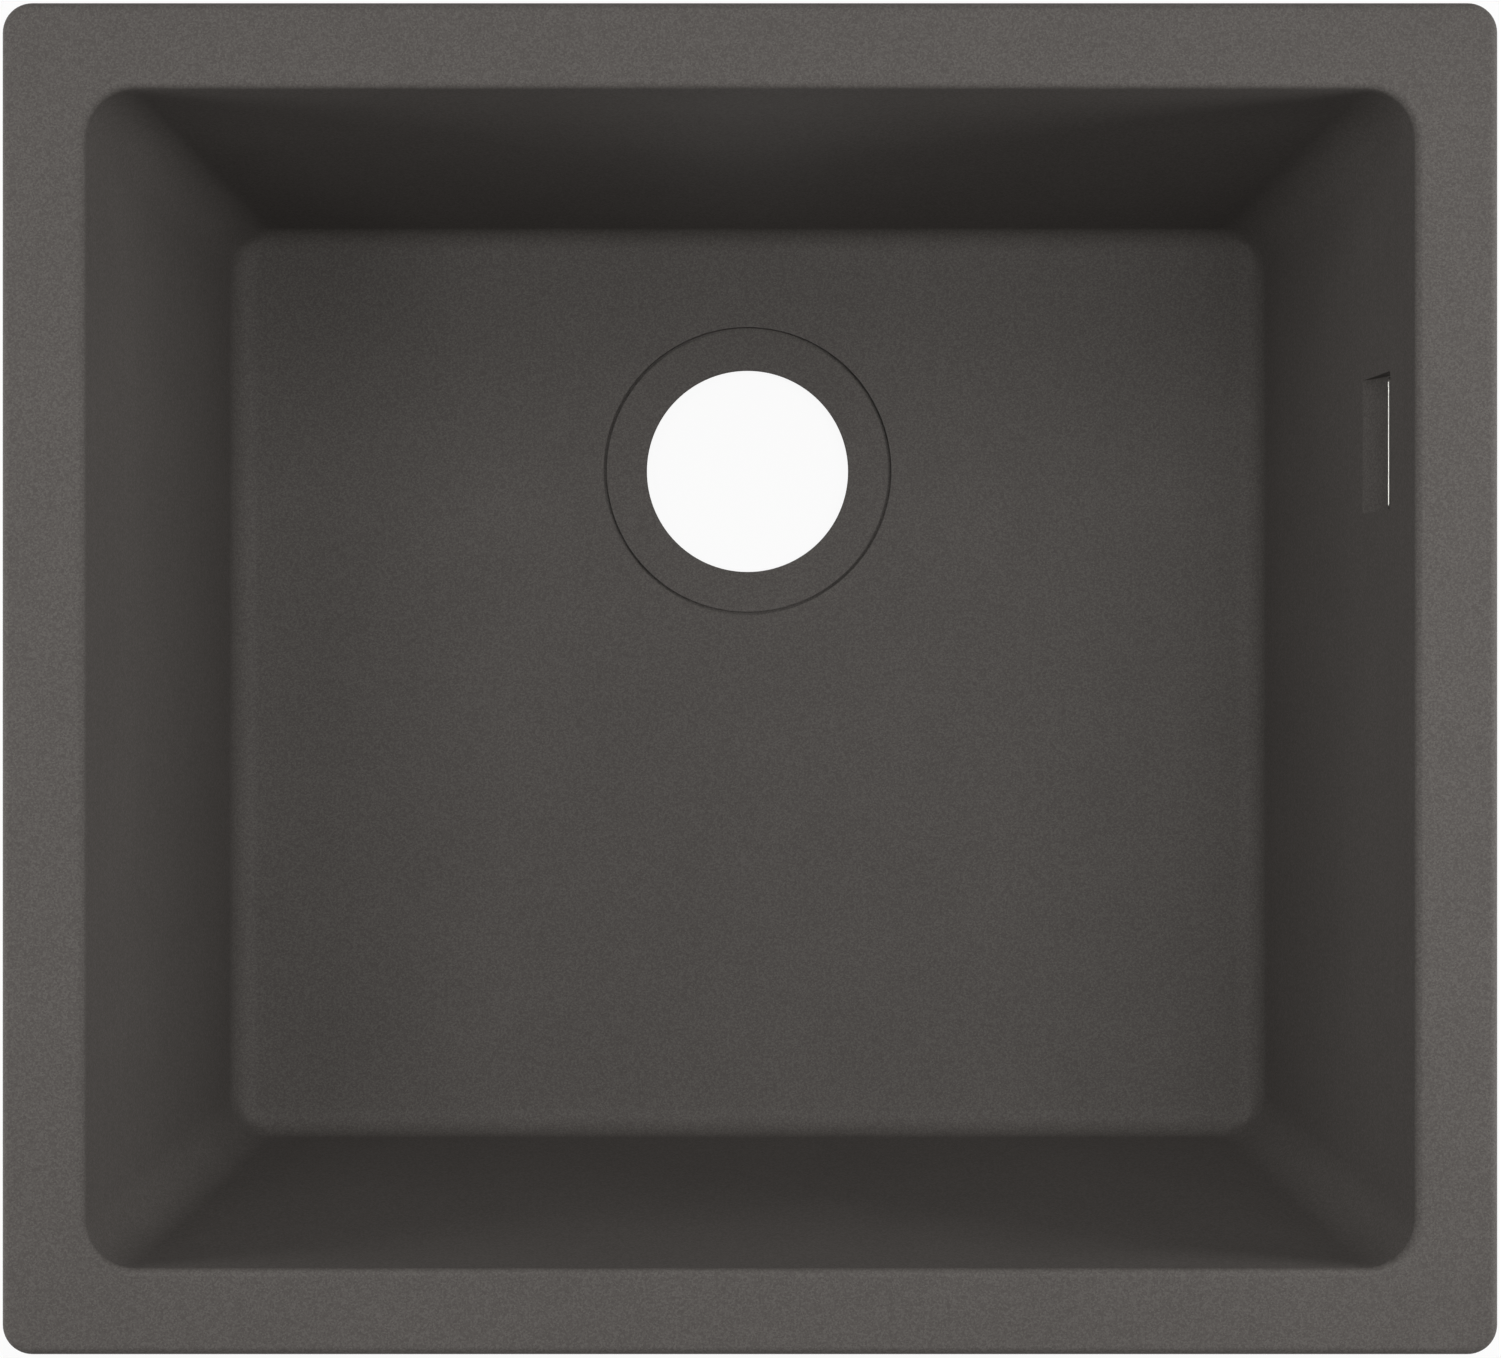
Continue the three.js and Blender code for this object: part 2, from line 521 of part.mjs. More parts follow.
// The collector's chamber, seen from the side and from the back: it steps in under the pad and narrows
// to the spigot. The inset makes the hollow inside it.
function chamber(inset) {
  const face = COLLECTOR_FACE_X + (inset ? COLLECTOR_FLANGE : 0);
  const toe = SPIGOT_X - SPIGOT_RADIUS;
  const top = COLLECTOR_TOP_DEPTH + inset;
  const section = alongWall([
    [face, top],
    [face, STEP_DEPTH + inset],
    [toe + inset, STEP_DEPTH + inset],
    [toe + inset, CHAMBER_FLOOR_DEPTH - inset],
    [COLLECTOR_BACK_X - inset, CHAMBER_FLOOR_DEPTH - inset],
    ...arc(
      COLLECTOR_BACK_X - COLLECTOR_CORNER_RADIUS,
      COLLECTOR_TOP_DEPTH + COLLECTOR_CORNER_RADIUS,
      COLLECTOR_CORNER_RADIUS - inset,
      0,
      -1,
      ROUND_STEPS - 2,
    ).map(({ x, y }) => [x, y]),
  ].reverse(), COLLECTOR_LENGTH);
  const middle = SLEEVE_MIDDLE_DEPTH;
  const [half, toeHalf] = [COLLECTOR_LENGTH / 2 - inset, SPIGOT_RADIUS + COLLECTOR_WALL - inset];
  const cornerX = COLLECTOR_LENGTH / 2 - COLLECTOR_CORNER_RADIUS;
  const cornerY = middle - COLLECTOR_TOP_DEPTH - COLLECTOR_CORNER_RADIUS;
  const funnel = acrossWall([
    new THREE.Vector2(-half, middle - FUNNEL_TOP_DEPTH),
    new THREE.Vector2(-toeHalf, middle - CHAMBER_FLOOR_DEPTH),
    new THREE.Vector2(toeHalf, middle - CHAMBER_FLOOR_DEPTH),
    new THREE.Vector2(half, middle - FUNNEL_TOP_DEPTH),
    ...arc(cornerX, cornerY, COLLECTOR_CORNER_RADIUS - inset, 0, 1, ROUND_STEPS - 2),
    ...arc(-cornerX, cornerY, COLLECTOR_CORNER_RADIUS - inset, 1, 2, ROUND_STEPS - 2),
  ], toe - COLLECTOR_WALL, COLLECTOR_BACK_X + COLLECTOR_WALL);
  return section.intersect(funnel);
}

// A short pipe with saw-tooth barbs that grip the hose, hanging from height 0.
function spigot() {
  const barbs = Array.from({ length: BARB_COUNT }, (_, k) => {
    const foot = -SPIGOT_LENGTH + BARB_PITCH * k;
    return [
      [SPIGOT_RADIUS - BARB_HEIGHT / 2, foot],
      [SPIGOT_RADIUS + BARB_HEIGHT / 2, foot + BARB_PITCH / 2],
      [SPIGOT_RADIUS - BARB_HEIGHT / 2, foot + BARB_PITCH / 2],
    ];
  }).flat();
  const profile = [
    [0, -SPIGOT_LENGTH],
    ...barbs,
    [SPIGOT_RADIUS - BARB_HEIGHT / 2, COLLECTOR_WALL / 2],
    [0, COLLECTOR_WALL / 2],
  ];
  return turned(profile, 2 * TURNED_STEPS)
    .translate([SPIGOT_X, OVERFLOW_SET_BACK, atDepth(CHAMBER_FLOOR_DEPTH)]);
}

function overflowCollector() {
  const flangeBack = COLLECTOR_FACE_X + COLLECTOR_FLANGE;
  const bore = rod(SPIGOT_BORE, -SPIGOT_LENGTH - CLEARANCE, 2 * COLLECTOR_WALL, 2 * TURNED_STEPS)
    .translate([SPIGOT_X, OVERFLOW_SET_BACK, atDepth(CHAMBER_FLOOR_DEPTH)]);
  return cut(
    join(earedPlate(COLLECTOR_FACE_X, flangeBack), chamber(0), spigot()),
    chamber(COLLECTOR_WALL),
    windowBlock(COLLECTOR_FACE_X - CLEARANCE, flangeBack + CLEARANCE),
    ...screwHoles(COLLECTOR_FACE_X - CLEARANCE, flangeBack + CLEARANCE),
    bore,
  );
}

// ---- fasteners and brackets, each along +Z -----------------------------------------------------------

// A brass insert with a groove round its middle that keys it in the casting.
function threadedInsert({ radius, bore, length, groove, grooveDepth }) {
  const [low, high] = [(length - groove) / 2, (length + groove) / 2];
  return turned([
    [radius, 0],
    [radius, low],
    [radius - grooveDepth, low],
    [radius - grooveDepth, high],
    [radius, high],
    [radius, length],
    [bore, length],
    [bore, 0],
  ]);
}

const washer = ({ radius, bore, thickness }) => turned([
  [radius, 0],
  [radius, thickness],
  [bore, thickness],
  [bore, 0],
]);

// The head hangs below height 0 and the shank stands above it.
const hexScrew = ({ radius, length, headRadius, headHeight }) => join(
  rod(headRadius, -headHeight, 0, HEXAGON),
  rod(radius, -headHeight / 2, length),
);

function panScrew({ radius, length, headRadius, headHeight }) {
  const crown = quarterRound(headHeight, ROUND_STEPS - 2).map(({ across, down }) => (
    [headRadius - headHeight + across, down - headHeight]));
  return turned([[0, -headHeight], ...crown, [radius, 0], [radius, length], [0, length]]);
}

// A flat bracket that points along +X from its pivot: round at the pivot, square at the tip.
function swingBracket() {
  const [half, tip] = [BRACKET_WIDTH / 2, BRACKET_REACH - BRACKET_TIP_RADIUS];
  const slotHalf = (BRACKET_SLOT_LENGTH - BRACKET_SLOT_WIDTH) / 2;
  const slotRadius = BRACKET_SLOT_WIDTH / 2;
  const plate = [
    ...arc(0, 0, half, 1, 3, TURNED_STEPS / 2),
    ...arc(tip, BRACKET_TIP_RADIUS - half, BRACKET_TIP_RADIUS, 3, 4, ROUND_STEPS),
    ...arc(tip, half - BRACKET_TIP_RADIUS, BRACKET_TIP_RADIUS, 0, 1, ROUND_STEPS),
  ];
  const slot = [
    ...arc(BRACKET_SLOT_CENTRE + slotHalf, 0, slotRadius, -1, 1, TURNED_STEPS / 2),
    ...arc(BRACKET_SLOT_CENTRE - slotHalf, 0, slotRadius, 1, 3, TURNED_STEPS / 2),
  ];
  const shape = new THREE.Shape(plate);
  shape.holes.push(new THREE.Path(circle(0, 0, BRACKET_HOLE_RADIUS)), new THREE.Path(slot));
  return toSolid(new THREE.ExtrudeGeometry(shape, { depth: BRACKET_THICKNESS, bevelEnabled: false }));
}

// ---- assembly ----------------------------------------------------------------------------------------

const sink = new THREE.Group();

function add(parent, name, solid, material, z = 0, turns = 0) {
  const mesh = new THREE.Mesh(toGeometry(solid), new THREE.MeshStandardMaterial(MATERIALS[material]));
  mesh.name = name;
  mesh.position.z = z;
  mesh.rotation.z = quarterTurns(turns);
  parent.add(mesh);
}

add(sink, 'basin', basin(), 'composite');
add(sink, 'overflow_sleeve', overflowSleeve(), 'stainless');
add(sink, 'overflow_gasket', overflowGasket(), 'rubber');
add(sink, 'overflow_collector', overflowCollector(), 'plastic');
Object.keys(EAR_OFFSETS).forEach((side) => {
  const screwSeatX = COLLECTOR_FACE_X + COLLECTOR_FLANGE + CLEARANCE;
  const insert = atEar(threadedInsert(COLLECTOR_INSERT), PAD_FACE_X - CLEARANCE, side);
  const screw = atEar(panScrew(COLLECTOR_SCREW), screwSeatX, side);
  add(sink, `overflow_insert_${side}`, insert, 'brass');
  add(sink, `overflow_screw_${side}`, screw, 'stainless');
});

Object.entries(FIXINGS).forEach(([name, { x, y, folded }]) => {
  const fixing = new THREE.Group();
  fixing.position.set(x, y, 0);
  add(fixing, `${name}_insert`, threadedInsert(RIM_INSERT), 'brass', atDepth(BOSS_DEPTH) + CLEARANCE);
  add(fixing, `${name}_bracket`, swingBracket(), 'zinc', BRACKET_TOP - BRACKET_THICKNESS, folded);
  add(fixing, `${name}_washer`, washer(WASHER), 'zinc', WASHER_TOP - WASHER.thickness);
  add(fixing, `${name}_screw`, hexScrew(RIM_SCREW), 'zinc', SCREW_SEAT);
  sink.add(fixing);
});

export default sink;
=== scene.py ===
# Undermount kitchen sink: the finished look of its pieces. Metres, +Z up, the front towards -Y.

import math

import bmesh
import bpy
from mathutils import Matrix, Vector


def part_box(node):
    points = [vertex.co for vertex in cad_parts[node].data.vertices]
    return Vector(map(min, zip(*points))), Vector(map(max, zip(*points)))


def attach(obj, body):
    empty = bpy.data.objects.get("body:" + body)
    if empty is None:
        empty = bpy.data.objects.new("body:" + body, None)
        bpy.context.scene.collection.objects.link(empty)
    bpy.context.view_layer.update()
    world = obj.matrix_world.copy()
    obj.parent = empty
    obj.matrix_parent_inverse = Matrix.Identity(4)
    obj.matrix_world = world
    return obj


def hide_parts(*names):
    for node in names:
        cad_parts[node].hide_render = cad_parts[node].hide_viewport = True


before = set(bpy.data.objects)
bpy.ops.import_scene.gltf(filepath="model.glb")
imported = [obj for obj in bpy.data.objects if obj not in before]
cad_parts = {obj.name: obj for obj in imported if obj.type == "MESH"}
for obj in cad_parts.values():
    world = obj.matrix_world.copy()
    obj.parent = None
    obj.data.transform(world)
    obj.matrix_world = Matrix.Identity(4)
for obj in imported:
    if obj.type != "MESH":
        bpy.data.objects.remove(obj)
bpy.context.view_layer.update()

# ---- sizes -------------------------------------------------------------------------------------------
# A depth is measured down from the top of the rim.

MM = 0.001
TINY = 0.02 * MM                     # two places nearer than this are the same
OVERSHOOT = 2 * MM                   # how far a cutting block stands out of what it cuts
X, Y, Z = 0, 1, 2

BASIN_LOW, BASIN_HIGH = (Vector(corner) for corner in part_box("basin"))
RIM_TOP = BASIN_HIGH.z

# basin
RIM_BORDER = Vector((28, 29)) * MM   # edge of the rim to the wall, along X and along Y
RIM_THICKNESS = 12 * MM
RIM_CORNER = 10 * MM
RIM_TOP_ROUND = 3 * MM
RIM_BOTTOM_ROUND = 2 * MM
MOUTH_ROUND = 2.5 * MM
MOUTH_HALF = Vector((BASIN_HIGH.x, BASIN_HIGH.y)) - RIM_BORDER
BOWL_DEPTH = 190 * MM
BOWL_CORNER = 17 * MM
WALL_SLOPE = 9 / 190                 # draft of the walls, inside and outside
LEAN_START = 5 * MM                  # depth from which the walls lean
BOWL_TUCK = 10.5 * MM                # how much further in the walls come at the floor, inside the bowl
TUCK_START = 36 * MM                 # depth from which they do, just below the overflow
TUCK_CURVE = 1.25                    # 1 is a straight wall from there down; more is more curved
FLOOR_FALL = 2.5 * MM                # from the walls to the seat
FLOOR_FILLET = 9 * MM
WALL_THICKNESS = 9 * MM
UNDERSIDE_CORNER = 27 * MM
UNDERSIDE_FILLET = 22.9 * MM
RIM_ROOT_FILLET = 6 * MM
SIDE_CUTS = 15                       # cuts along each wall, so that the floor's fall is a smooth surface
WALL_CUTS = 15                       # cuts down each wall, for its curve
CORNER_SEGMENTS = 12

# outlet
OUTLET = Vector((0, 84.3, 0)) * MM
OUTLET_RADIUS = 40 * MM
OUTLET_ROUND = 0.6 * MM
OUTLET_FLARE = 1.4 * MM              # how much wider the outlet is at the underside
SEAT_RADIUS = 57.3 * MM              # outside of the groove round the seat
SEAT_DISH = 1.4 * MM                 # fall of the seat to the outlet
GROOVE_WIDTH = 1.3 * MM
GROOVE_DEPTH = 2.6 * MM
OUTLET_SEGMENTS = 120

# overflow: the sleeve is the measure of the recess, the pad, the gasket and the collector
SLEEVE_LOW, SLEEVE_HIGH = (Vector(corner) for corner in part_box("overflow_sleeve"))
SLEEVE_FLANGE = 4 * MM
SLEEVE_SHEET = 0.8 * MM
SLEEVE_CORNER = 1.4 * MM
SLEEVE_FOLD = 0.4 * MM
SLEEVE_NOSE = 0.38 * MM              # rounding of the sheet's front edge
GAP = 0.3 * MM                       # between two pieces that touch
SLEEVE_HALF = Vector((SLEEVE_HIGH.y - SLEEVE_LOW.y, SLEEVE_HIGH.z - SLEEVE_LOW.z)) / 2
PASSAGE_HALF = SLEEVE_HALF - Vector((SLEEVE_FLANGE, SLEEVE_FLANGE))
OVERFLOW = (SLEEVE_LOW + SLEEVE_HIGH) / 2
SCOOP_MARGIN = 1 * MM                # of the recess past the passage's top and ends
SCOOP_RAMP = 15 * MM                 # height over which the recess comes out to the wall below the slot
RAMP_STEPS = 8
RAMP_HOLLOW = 1.3                    # 1 is a straight ramp; more is steeper towards the slot
SCOOP_CORNER = 1.5 * MM
PAD_FACE = SLEEVE_HIGH.x - SLEEVE_SHEET - GAP
PAD_CORNER = 8 * MM
PAD_HALF = Vector((44.5, 16.7)) * MM

# gasket and collector
GASKET_LOW, GASKET_HIGH = (Vector(corner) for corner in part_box("overflow_gasket"))
PLATE_HALF = SLEEVE_HALF + Vector((3.5, 3.5)) * MM       # gasket and flange, without their ears
PLATE_CORNER = 4 * MM
EAR_RADIUS = 7 * MM
EAR_OFFSET = GASKET_HIGH.y - EAR_RADIUS - OVERFLOW.y
EAR_HOLE = 2.3 * MM
WINDOW_MARGIN = 0.8 * MM
COLLECTOR_LOW, COLLECTOR_HIGH = (Vector(corner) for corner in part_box("overflow_collector"))
COLLECTOR_FACE = GASKET_HIGH.x + GAP
COLLECTOR_FLANGE = 2.5 * MM
COLLECTOR_WALL = 1.8 * MM
COLLECTOR_ROUND = 3 * MM
COLLECTOR_TOP = RIM_TOP - 27 * MM
FUNNEL_TOP = RIM_TOP - 52 * MM
SPIGOT_LENGTH = 22 * MM
CHAMBER_FLOOR = COLLECTOR_LOW.z + SPIGOT_LENGTH
STEP = CHAMBER_FLOOR + 10 * MM       # top of the toe that reaches in under the pad
SPIGOT_X = COLLECTOR_HIGH.x - 9 * MM
SPIGOT_RADIUS = 8.2 * MM
SPIGOT_BORE = 6.3 * MM
BARB_HEIGHT = 0.7 * MM
BARB_PITCH = 5 * MM
BARB_COUNT = 3

# rim fixings
BOSS_RADIUS = 7.5 * MM
BOSS_HEIGHT = 6 * MM
BOSS_ROUND = 0.8 * MM
BOSS_BOTTOM = RIM_TOP - RIM_THICKNESS - BOSS_HEIGHT
BRACKET_WIDTH = 16 * MM
BRACKET_REACH = 47 * MM
BRACKET_THICKNESS = 2.5 * MM
BRACKET_TIP = 4 * MM
BRACKET_HOLE = 3.3 * MM
SLOT_WIDTH = 6.6 * MM
SLOT_LENGTH = 20 * MM
SLOT_CENTRE = 29 * MM
# quarter turns from +X to the way that a folded bracket points, and to the way out of each side
FOLDED = {
    "front_left": 2, "front_right": 0, "back_left": 2, "back_right": 0,
    "left_front": 3, "left_back": 1, "right_front": 3, "right_back": 1,
}
OUTWARD = {"front": 3, "back": 1, "left": 2, "right": 0}

# threaded inserts, screws and washers
RIM_INSERT = {
    "radius": 4.5 * MM, "bore": 3.3 * MM, "length": 9.7 * MM, "groove": 2.2 * MM, "depth": 0.6 * MM}
EAR_INSERT = {
    "radius": 3.3 * MM, "bore": 2.3 * MM, "length": 9 * MM, "groove": 2 * MM, "depth": 0.5 * MM}
HEX_SCREW = {"radius": 3 * MM, "length": 13 * MM, "head": 5.77 * MM, "height": 4 * MM}
PAN_SCREW = {"radius": 2 * MM, "length": 14 * MM, "head": 3.8 * MM, "height": 2.6 * MM}
HEX_CHAMFER = 0.5 * MM
THREAD_CHAMFER = 0.6 * MM
CROSS_WIDTH = 0.8 * MM
CROSS_LENGTH = 4.2 * MM
CROSS_DEPTH = 1.5 * MM
CROSS_TAPER = 0.45
WASHER = {"radius": 6 * MM, "bore": 3.3 * MM, "thickness": 1.2 * MM}

# small edges
PAD_ROUND = 1 * MM
GASKET_EDGE = 0.3 * MM
COLLECTOR_EDGE = 0.7 * MM
STAMPED_EDGE = 0.35 * MM
INSERT_EDGE = 0.15 * MM
WASHER_EDGE = 0.15 * MM
SCREW_EDGE = 0.1 * MM

# patterns of the materials: the size of one grain, and how far it strays
FACE_CHIP = 0.5 * MM                 # the sand is 0.1 to 0.3 mm; drawn coarser, so that it shows
BACK_CHIP = 0.8 * MM
CHIP_SHADES_AT = (0.06, 0.5, 0.94)   # shares of the grains up to which they are dark, middling and pale
GRIT_SIZE = 0.5 * MM                 # relief of the moulded skin, as coarse as the sand
CLOUD_SIZE = 40 * MM                 # slow drift of the tone across a casting
CLOUD_DRIFT = 0.03
BRUSH_LINE = 0.4 * MM                # real lines are 0.05 mm; drawn coarser, so that they show
BRUSH_STRETCH = (1, 0.05, 1)         # drawn out along Y, the length of the slot
PLATE_GRAIN = 0.8 * MM
RUBBER_GRAIN = 0.7 * MM
ETCH_GRAIN = 0.6 * MM
COMPOSITE_SHEEN = 0.14               # the matt skin mirrors less than the 0.5 of clear resin
COMPOSITE_UNEVEN = 0.06              # how far the roughness strays to either side
PLAIN_UNEVEN = 0.05

# stage, light and camera
FLOOR_SIZE = 12
FLOOR_GAP = 0.2 * MM                 # between the floor and the sink's underside
PAPER = "#F2F2F2"
FLOOR_WHITE = 0.93                   # share of the floor's white that is its own, so that it stays white
WHITE = (1, 1, 1, 1)
AMBIENT = 0.02                       # strength of the faint light from all round
LIT_POINT = (0, 0, 0.2)              # middle of the mouth, which every softbox faces
SOFTBOXES = (                        # name, place, size, watts
    ("overhead softbox", (0.45, 0, 1.85), (0.5, 0.5), 5.8),
    ("high right softbox", (0.95, 0.05, 1.75), (0.5, 0.5), 3.1),
    ("high left softbox", (-0.95, 0.05, 1.75), (0.5, 0.5), 4.2),
    ("overhead back softbox", (0, 0.45, 1.85), (0.5, 0.5), 2.2),
    ("high back softbox", (0, 0.95, 1.75), (0.7, 0.5), 4.6),
    ("left softbox", (-1.6, 0, 1.25), (0.5, 0.6), 1.2),
    ("low right strip", (0.8, 0, 0.38), (0.6, 0.22), 2.9),
    ("low left strip", (-0.8, 0, 0.38), (0.6, 0.22), 1.9),
)
CAMERA_PLACE = (-0.0052, -0.0088, 1.185)
CAMERA_SENSOR = 36                   # millimetres, as is the lens
CAMERA_LENS = 70.8
CAMERA_SHIFT = (0.0107, 0.0173)      # shares of the sensor

# ---- places ------------------------------------------------------------------------------------------


def lean(depth, tuck=0):
    """How far a wall has moved in at a depth, with the further tuck that it has at the floor."""
    share = max((depth - TUCK_START) / (BOWL_DEPTH - TUCK_START), 0)
    return WALL_SLOPE * (depth - LEAN_START) + tuck * share ** TUCK_CURVE


def pivot(fixing, height=0):
    """The axis of a fixing's screw, at a height."""
    low, high = (Vector(corner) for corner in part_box(fixing + "_screw"))
    return Vector(((low.x + high.x) / 2, (low.y + high.y) / 2, height))


def ear(x, side):
    """The axis of one of the collector's two screws, at an x. The front side is -1, the back 1."""
    return Vector((x, OVERFLOW.y + side * EAR_OFFSET, OVERFLOW.z))


# ---- modelling ---------------------------------------------------------------------------------------


def only(piece):
    """Makes one object the selected and active one."""
    bpy.ops.object.select_all(action="DESELECT")
    piece.select_set(True)
    bpy.context.view_layer.objects.active = piece


def start(piece):
    """Selects one object alone and opens it in edit mode."""
    only(piece)
    bpy.ops.object.mode_set(mode="EDIT")


def stop():
    """Back to object mode, with the edited piece as the result."""
    bpy.ops.object.mode_set(mode="OBJECT")
    return bpy.context.object


def settled():
    """Works the place, turn and scale of the new object into its mesh."""
    bpy.ops.object.transform_apply(location=True, rotation=True, scale=True)
    return bpy.context.object


def both(size):
    """The same size along X and along Y."""
    return Vector((size, size))


def runs_along(edge, axis):
    """Tests whether an edge lies along an axis, or close to it."""
    run = edge.verts[0].co - edge.verts[1].co
    return abs(run[axis]) > 0.99 * run.length


def lies_at(place, axis=Z):
    """Tests whether all of an edge or face lies at a place along an axis."""
    return lambda element: all(abs(vertex.co[axis] - place) < TINY for vertex in element.verts)


def lies_within(half, element):
    """Tests whether all of an edge lies less than a half length and width from the middle."""
    return all(abs(vertex.co.x) < half.x and abs(vertex.co.y) < half.y for vertex in element.verts)


def select(kind, test):
    """Selects the vertices, edges or faces of the open mesh that pass the test."""
    data = bpy.context.object.data
    bpy.context.tool_settings.mesh_select_mode = [kind == each for each in ("verts", "edges", "faces")]
    bpy.ops.mesh.select_all(action="DESELECT")
    mesh = bmesh.from_edit_mesh(data)
    for element in getattr(mesh, kind):
        element.select_set(bool(test(element)))
    mesh.select_flush_mode()
    bmesh.update_edit_mesh(data)


def block(low, high):
    """A box between two corners, open in edit mode."""
    low, high = Vector(low), Vector(high)
    bpy.ops.object.select_all(action="DESELECT")
    bpy.ops.mesh.primitive_cube_add(size=1, location=(low + high) / 2, scale=high - low)
    start(settled())


def rounded_block(low, high, radius, axis=Z, segments=CORNER_SEGMENTS):
    """A box with its four edges along one axis rounded, open in edit mode."""
    block(low, high)
    select("edges", lambda edge: runs_along(edge, axis))
    bpy.ops.mesh.bevel(offset=radius, segments=segments, affect="EDGES")


def rod(radius, low, high, segments=48):
    """A cylinder from one point to another."""
    low, high = Vector(low), Vector(high)
    run = high - low
    bpy.ops.object.select_all(action="DESELECT")
    bpy.ops.mesh.primitive_cylinder_add(
        vertices=segments, radius=radius, depth=run.length, location=(low + high) / 2,
        rotation=run.to_track_quat("Z", "Y").to_euler())
    return settled()


def draw_on(places, centre=(0, 0, 0)):
    """Draws the selected ring on through more rings, each a radius and a height about an upright axis."""
    radius, height = places[0]
    for next_radius, next_height in places[1:]:
        bpy.ops.mesh.extrude_edges_move(TRANSFORM_OT_translate={"value": (0, 0, next_height - height)})
        scale = next_radius / radius
        bpy.ops.transform.resize(value=(scale, scale, 1), center_override=centre)
        radius, height = next_radius, next_height


def turned(places, segments=48):
    """A piece turned about +Z through rings; a tube where the last ring is the first again."""
    radius, height = places[0]
    bpy.ops.object.select_all(action="DESELECT")
    bpy.ops.mesh.primitive_circle_add(vertices=segments, radius=radius, location=(0, 0, height))
    start(settled())
    select("edges", lambda edge: True)
    draw_on(places)
    if places[-1] == places[0]:
        bpy.ops.mesh.select_all(action="SELECT")
        bpy.ops.mesh.remove_doubles(threshold=TINY / 10)
    else:
        bpy.ops.mesh.edge_face_add()
        select("edges", lambda edge: edge.is_boundary)
        bpy.ops.mesh.edge_face_add()
    bpy.ops.mesh.select_all(action="SELECT")
    bpy.ops.mesh.normals_make_consistent(inside=False)
    return stop()


def combine(piece, tool, operation):
    """Joins, cuts or crosses a piece with a tool, which is used up."""
    only(piece)
    step = piece.modifiers.new("combine", "BOOLEAN")
    step.object = tool
    step.operation = operation
    step.solver = "EXACT"
    bpy.ops.object.modifier_apply(modifier=step.name)
    bpy.data.objects.remove(tool)
    return piece


def gather(pieces):
    """Makes one object of several, each still with its own closed skin."""
    bpy.ops.object.select_all(action="DESELECT")
    for piece in pieces:
        piece.select_set(True)
    bpy.context.view_layer.objects.active = pieces[0]
    bpy.ops.object.join()
    return bpy.context.object


def placed_copy(piece, place, turn):
    """A copy with its own mesh, turned about the origin and then moved to a place."""
    copy = piece.copy()
    copy.data = piece.data.copy()
    bpy.context.collection.objects.link(copy)
    copy.data.transform(Matrix.Translation(place) @ turn)
    return copy


def quarter_turns(count):
    return Matrix.Rotation(count * math.pi / 2, 4, "Z")


def round_by_weight(piece, width, segments, weight_of):
    """Rounds edges by different amounts in one step, each by its share of the width."""
    only(piece)
    weights = piece.data.attributes.new("bevel_weight_edge", "FLOAT", "EDGE")
    for edge in piece.data.edges:
        weights.data[edge.index].value = weight_of(*(piece.data.vertices[end].co for end in edge.vertices))
    step = piece.modifiers.new("round", "BEVEL")
    step.limit_method = "WEIGHT"
    step.offset_type = "OFFSET"
    step.width = width
    step.segments = segments
    bpy.ops.object.modifier_apply(modifier=step.name)


def soften(piece, width, segments=2, angle=40):
    """Takes the sharpness off every edge past an angle."""
    only(piece)
    step = piece.modifiers.new("soften", "BEVEL")
    step.limit_method = "ANGLE"
    step.angle_limit = math.radians(angle)
    step.width = width
    step.segments = segments
    bpy.ops.object.modifier_apply(modifier=step.name)


def smooth(piece, angle=35):
    """Smooth shading that keeps flat faces flat, and hard edges past an angle."""
    only(piece)
    bpy.ops.object.shade_smooth_by_angle(angle=math.radians(angle))
    step = piece.modifiers.new("even out", "WEIGHTED_NORMAL")
    step.keep_sharp = True
    bpy.ops.object.modifier_apply(modifier=step.name)


def finish(piece, node, slot, *finishes, body="sink"):
    """Gives a piece its finishes and puts it on its body, in place of the CAD node."""
    piece.name = node + "_finished"
    piece.data.name = piece.name
    piece.data.materials.clear()
    for material in finishes:
        piece.data.materials.append(material)
    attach(piece, body)
    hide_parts(node)


# ---- basin -------------------------------------------------------------------------------------------


def tapered_box(half, top, foot, corner, fillet, tuck=0):
    """A box whose walls lean in towards its foot, with rounded upright corners and a filleted foot.

    half is the half length and width where the lean begins.
    """
    block((-half.x, -half.y, foot), (half.x, half.y, top))
    select("edges", lambda edge: runs_along(edge, Z))
    bpy.ops.mesh.subdivide(number_cuts=WALL_CUTS)
    select("edges", lambda edge: not runs_along(edge, Z))
    bpy.ops.mesh.subdivide(number_cuts=SIDE_CUTS)
    for ring in range(WALL_CUTS + 2):
        height = foot + (top - foot) * ring / (WALL_CUTS + 1)
        ring_half = half - both(lean(RIM_TOP - height, tuck))
        scale = (ring_half.x / half.x, ring_half.y / half.y, 1)
        select("verts", lambda vertex: abs(vertex.co.z - height) < TINY)
        bpy.ops.transform.resize(value=scale, center_override=(0, 0, 0))
    foot_half = half - both(lean(RIM_TOP - foot, tuck))
    box = stop()
    width = max(corner, fillet)

    def share(a, b):
        """An edge's share of the width, from its two ends."""
        side_x = min(abs(a.x), abs(b.x)) > foot_half.x - TINY
        side_y = min(abs(a.y), abs(b.y)) > foot_half.y - TINY
        if abs(a.z - b.z) > TINY:
            return corner / width if side_x and side_y else 0
        return fillet / width if a.z < foot + TINY and (side_x or side_y) else 0

    round_by_weight(box, width, CORNER_SEGMENTS, share)
    return box


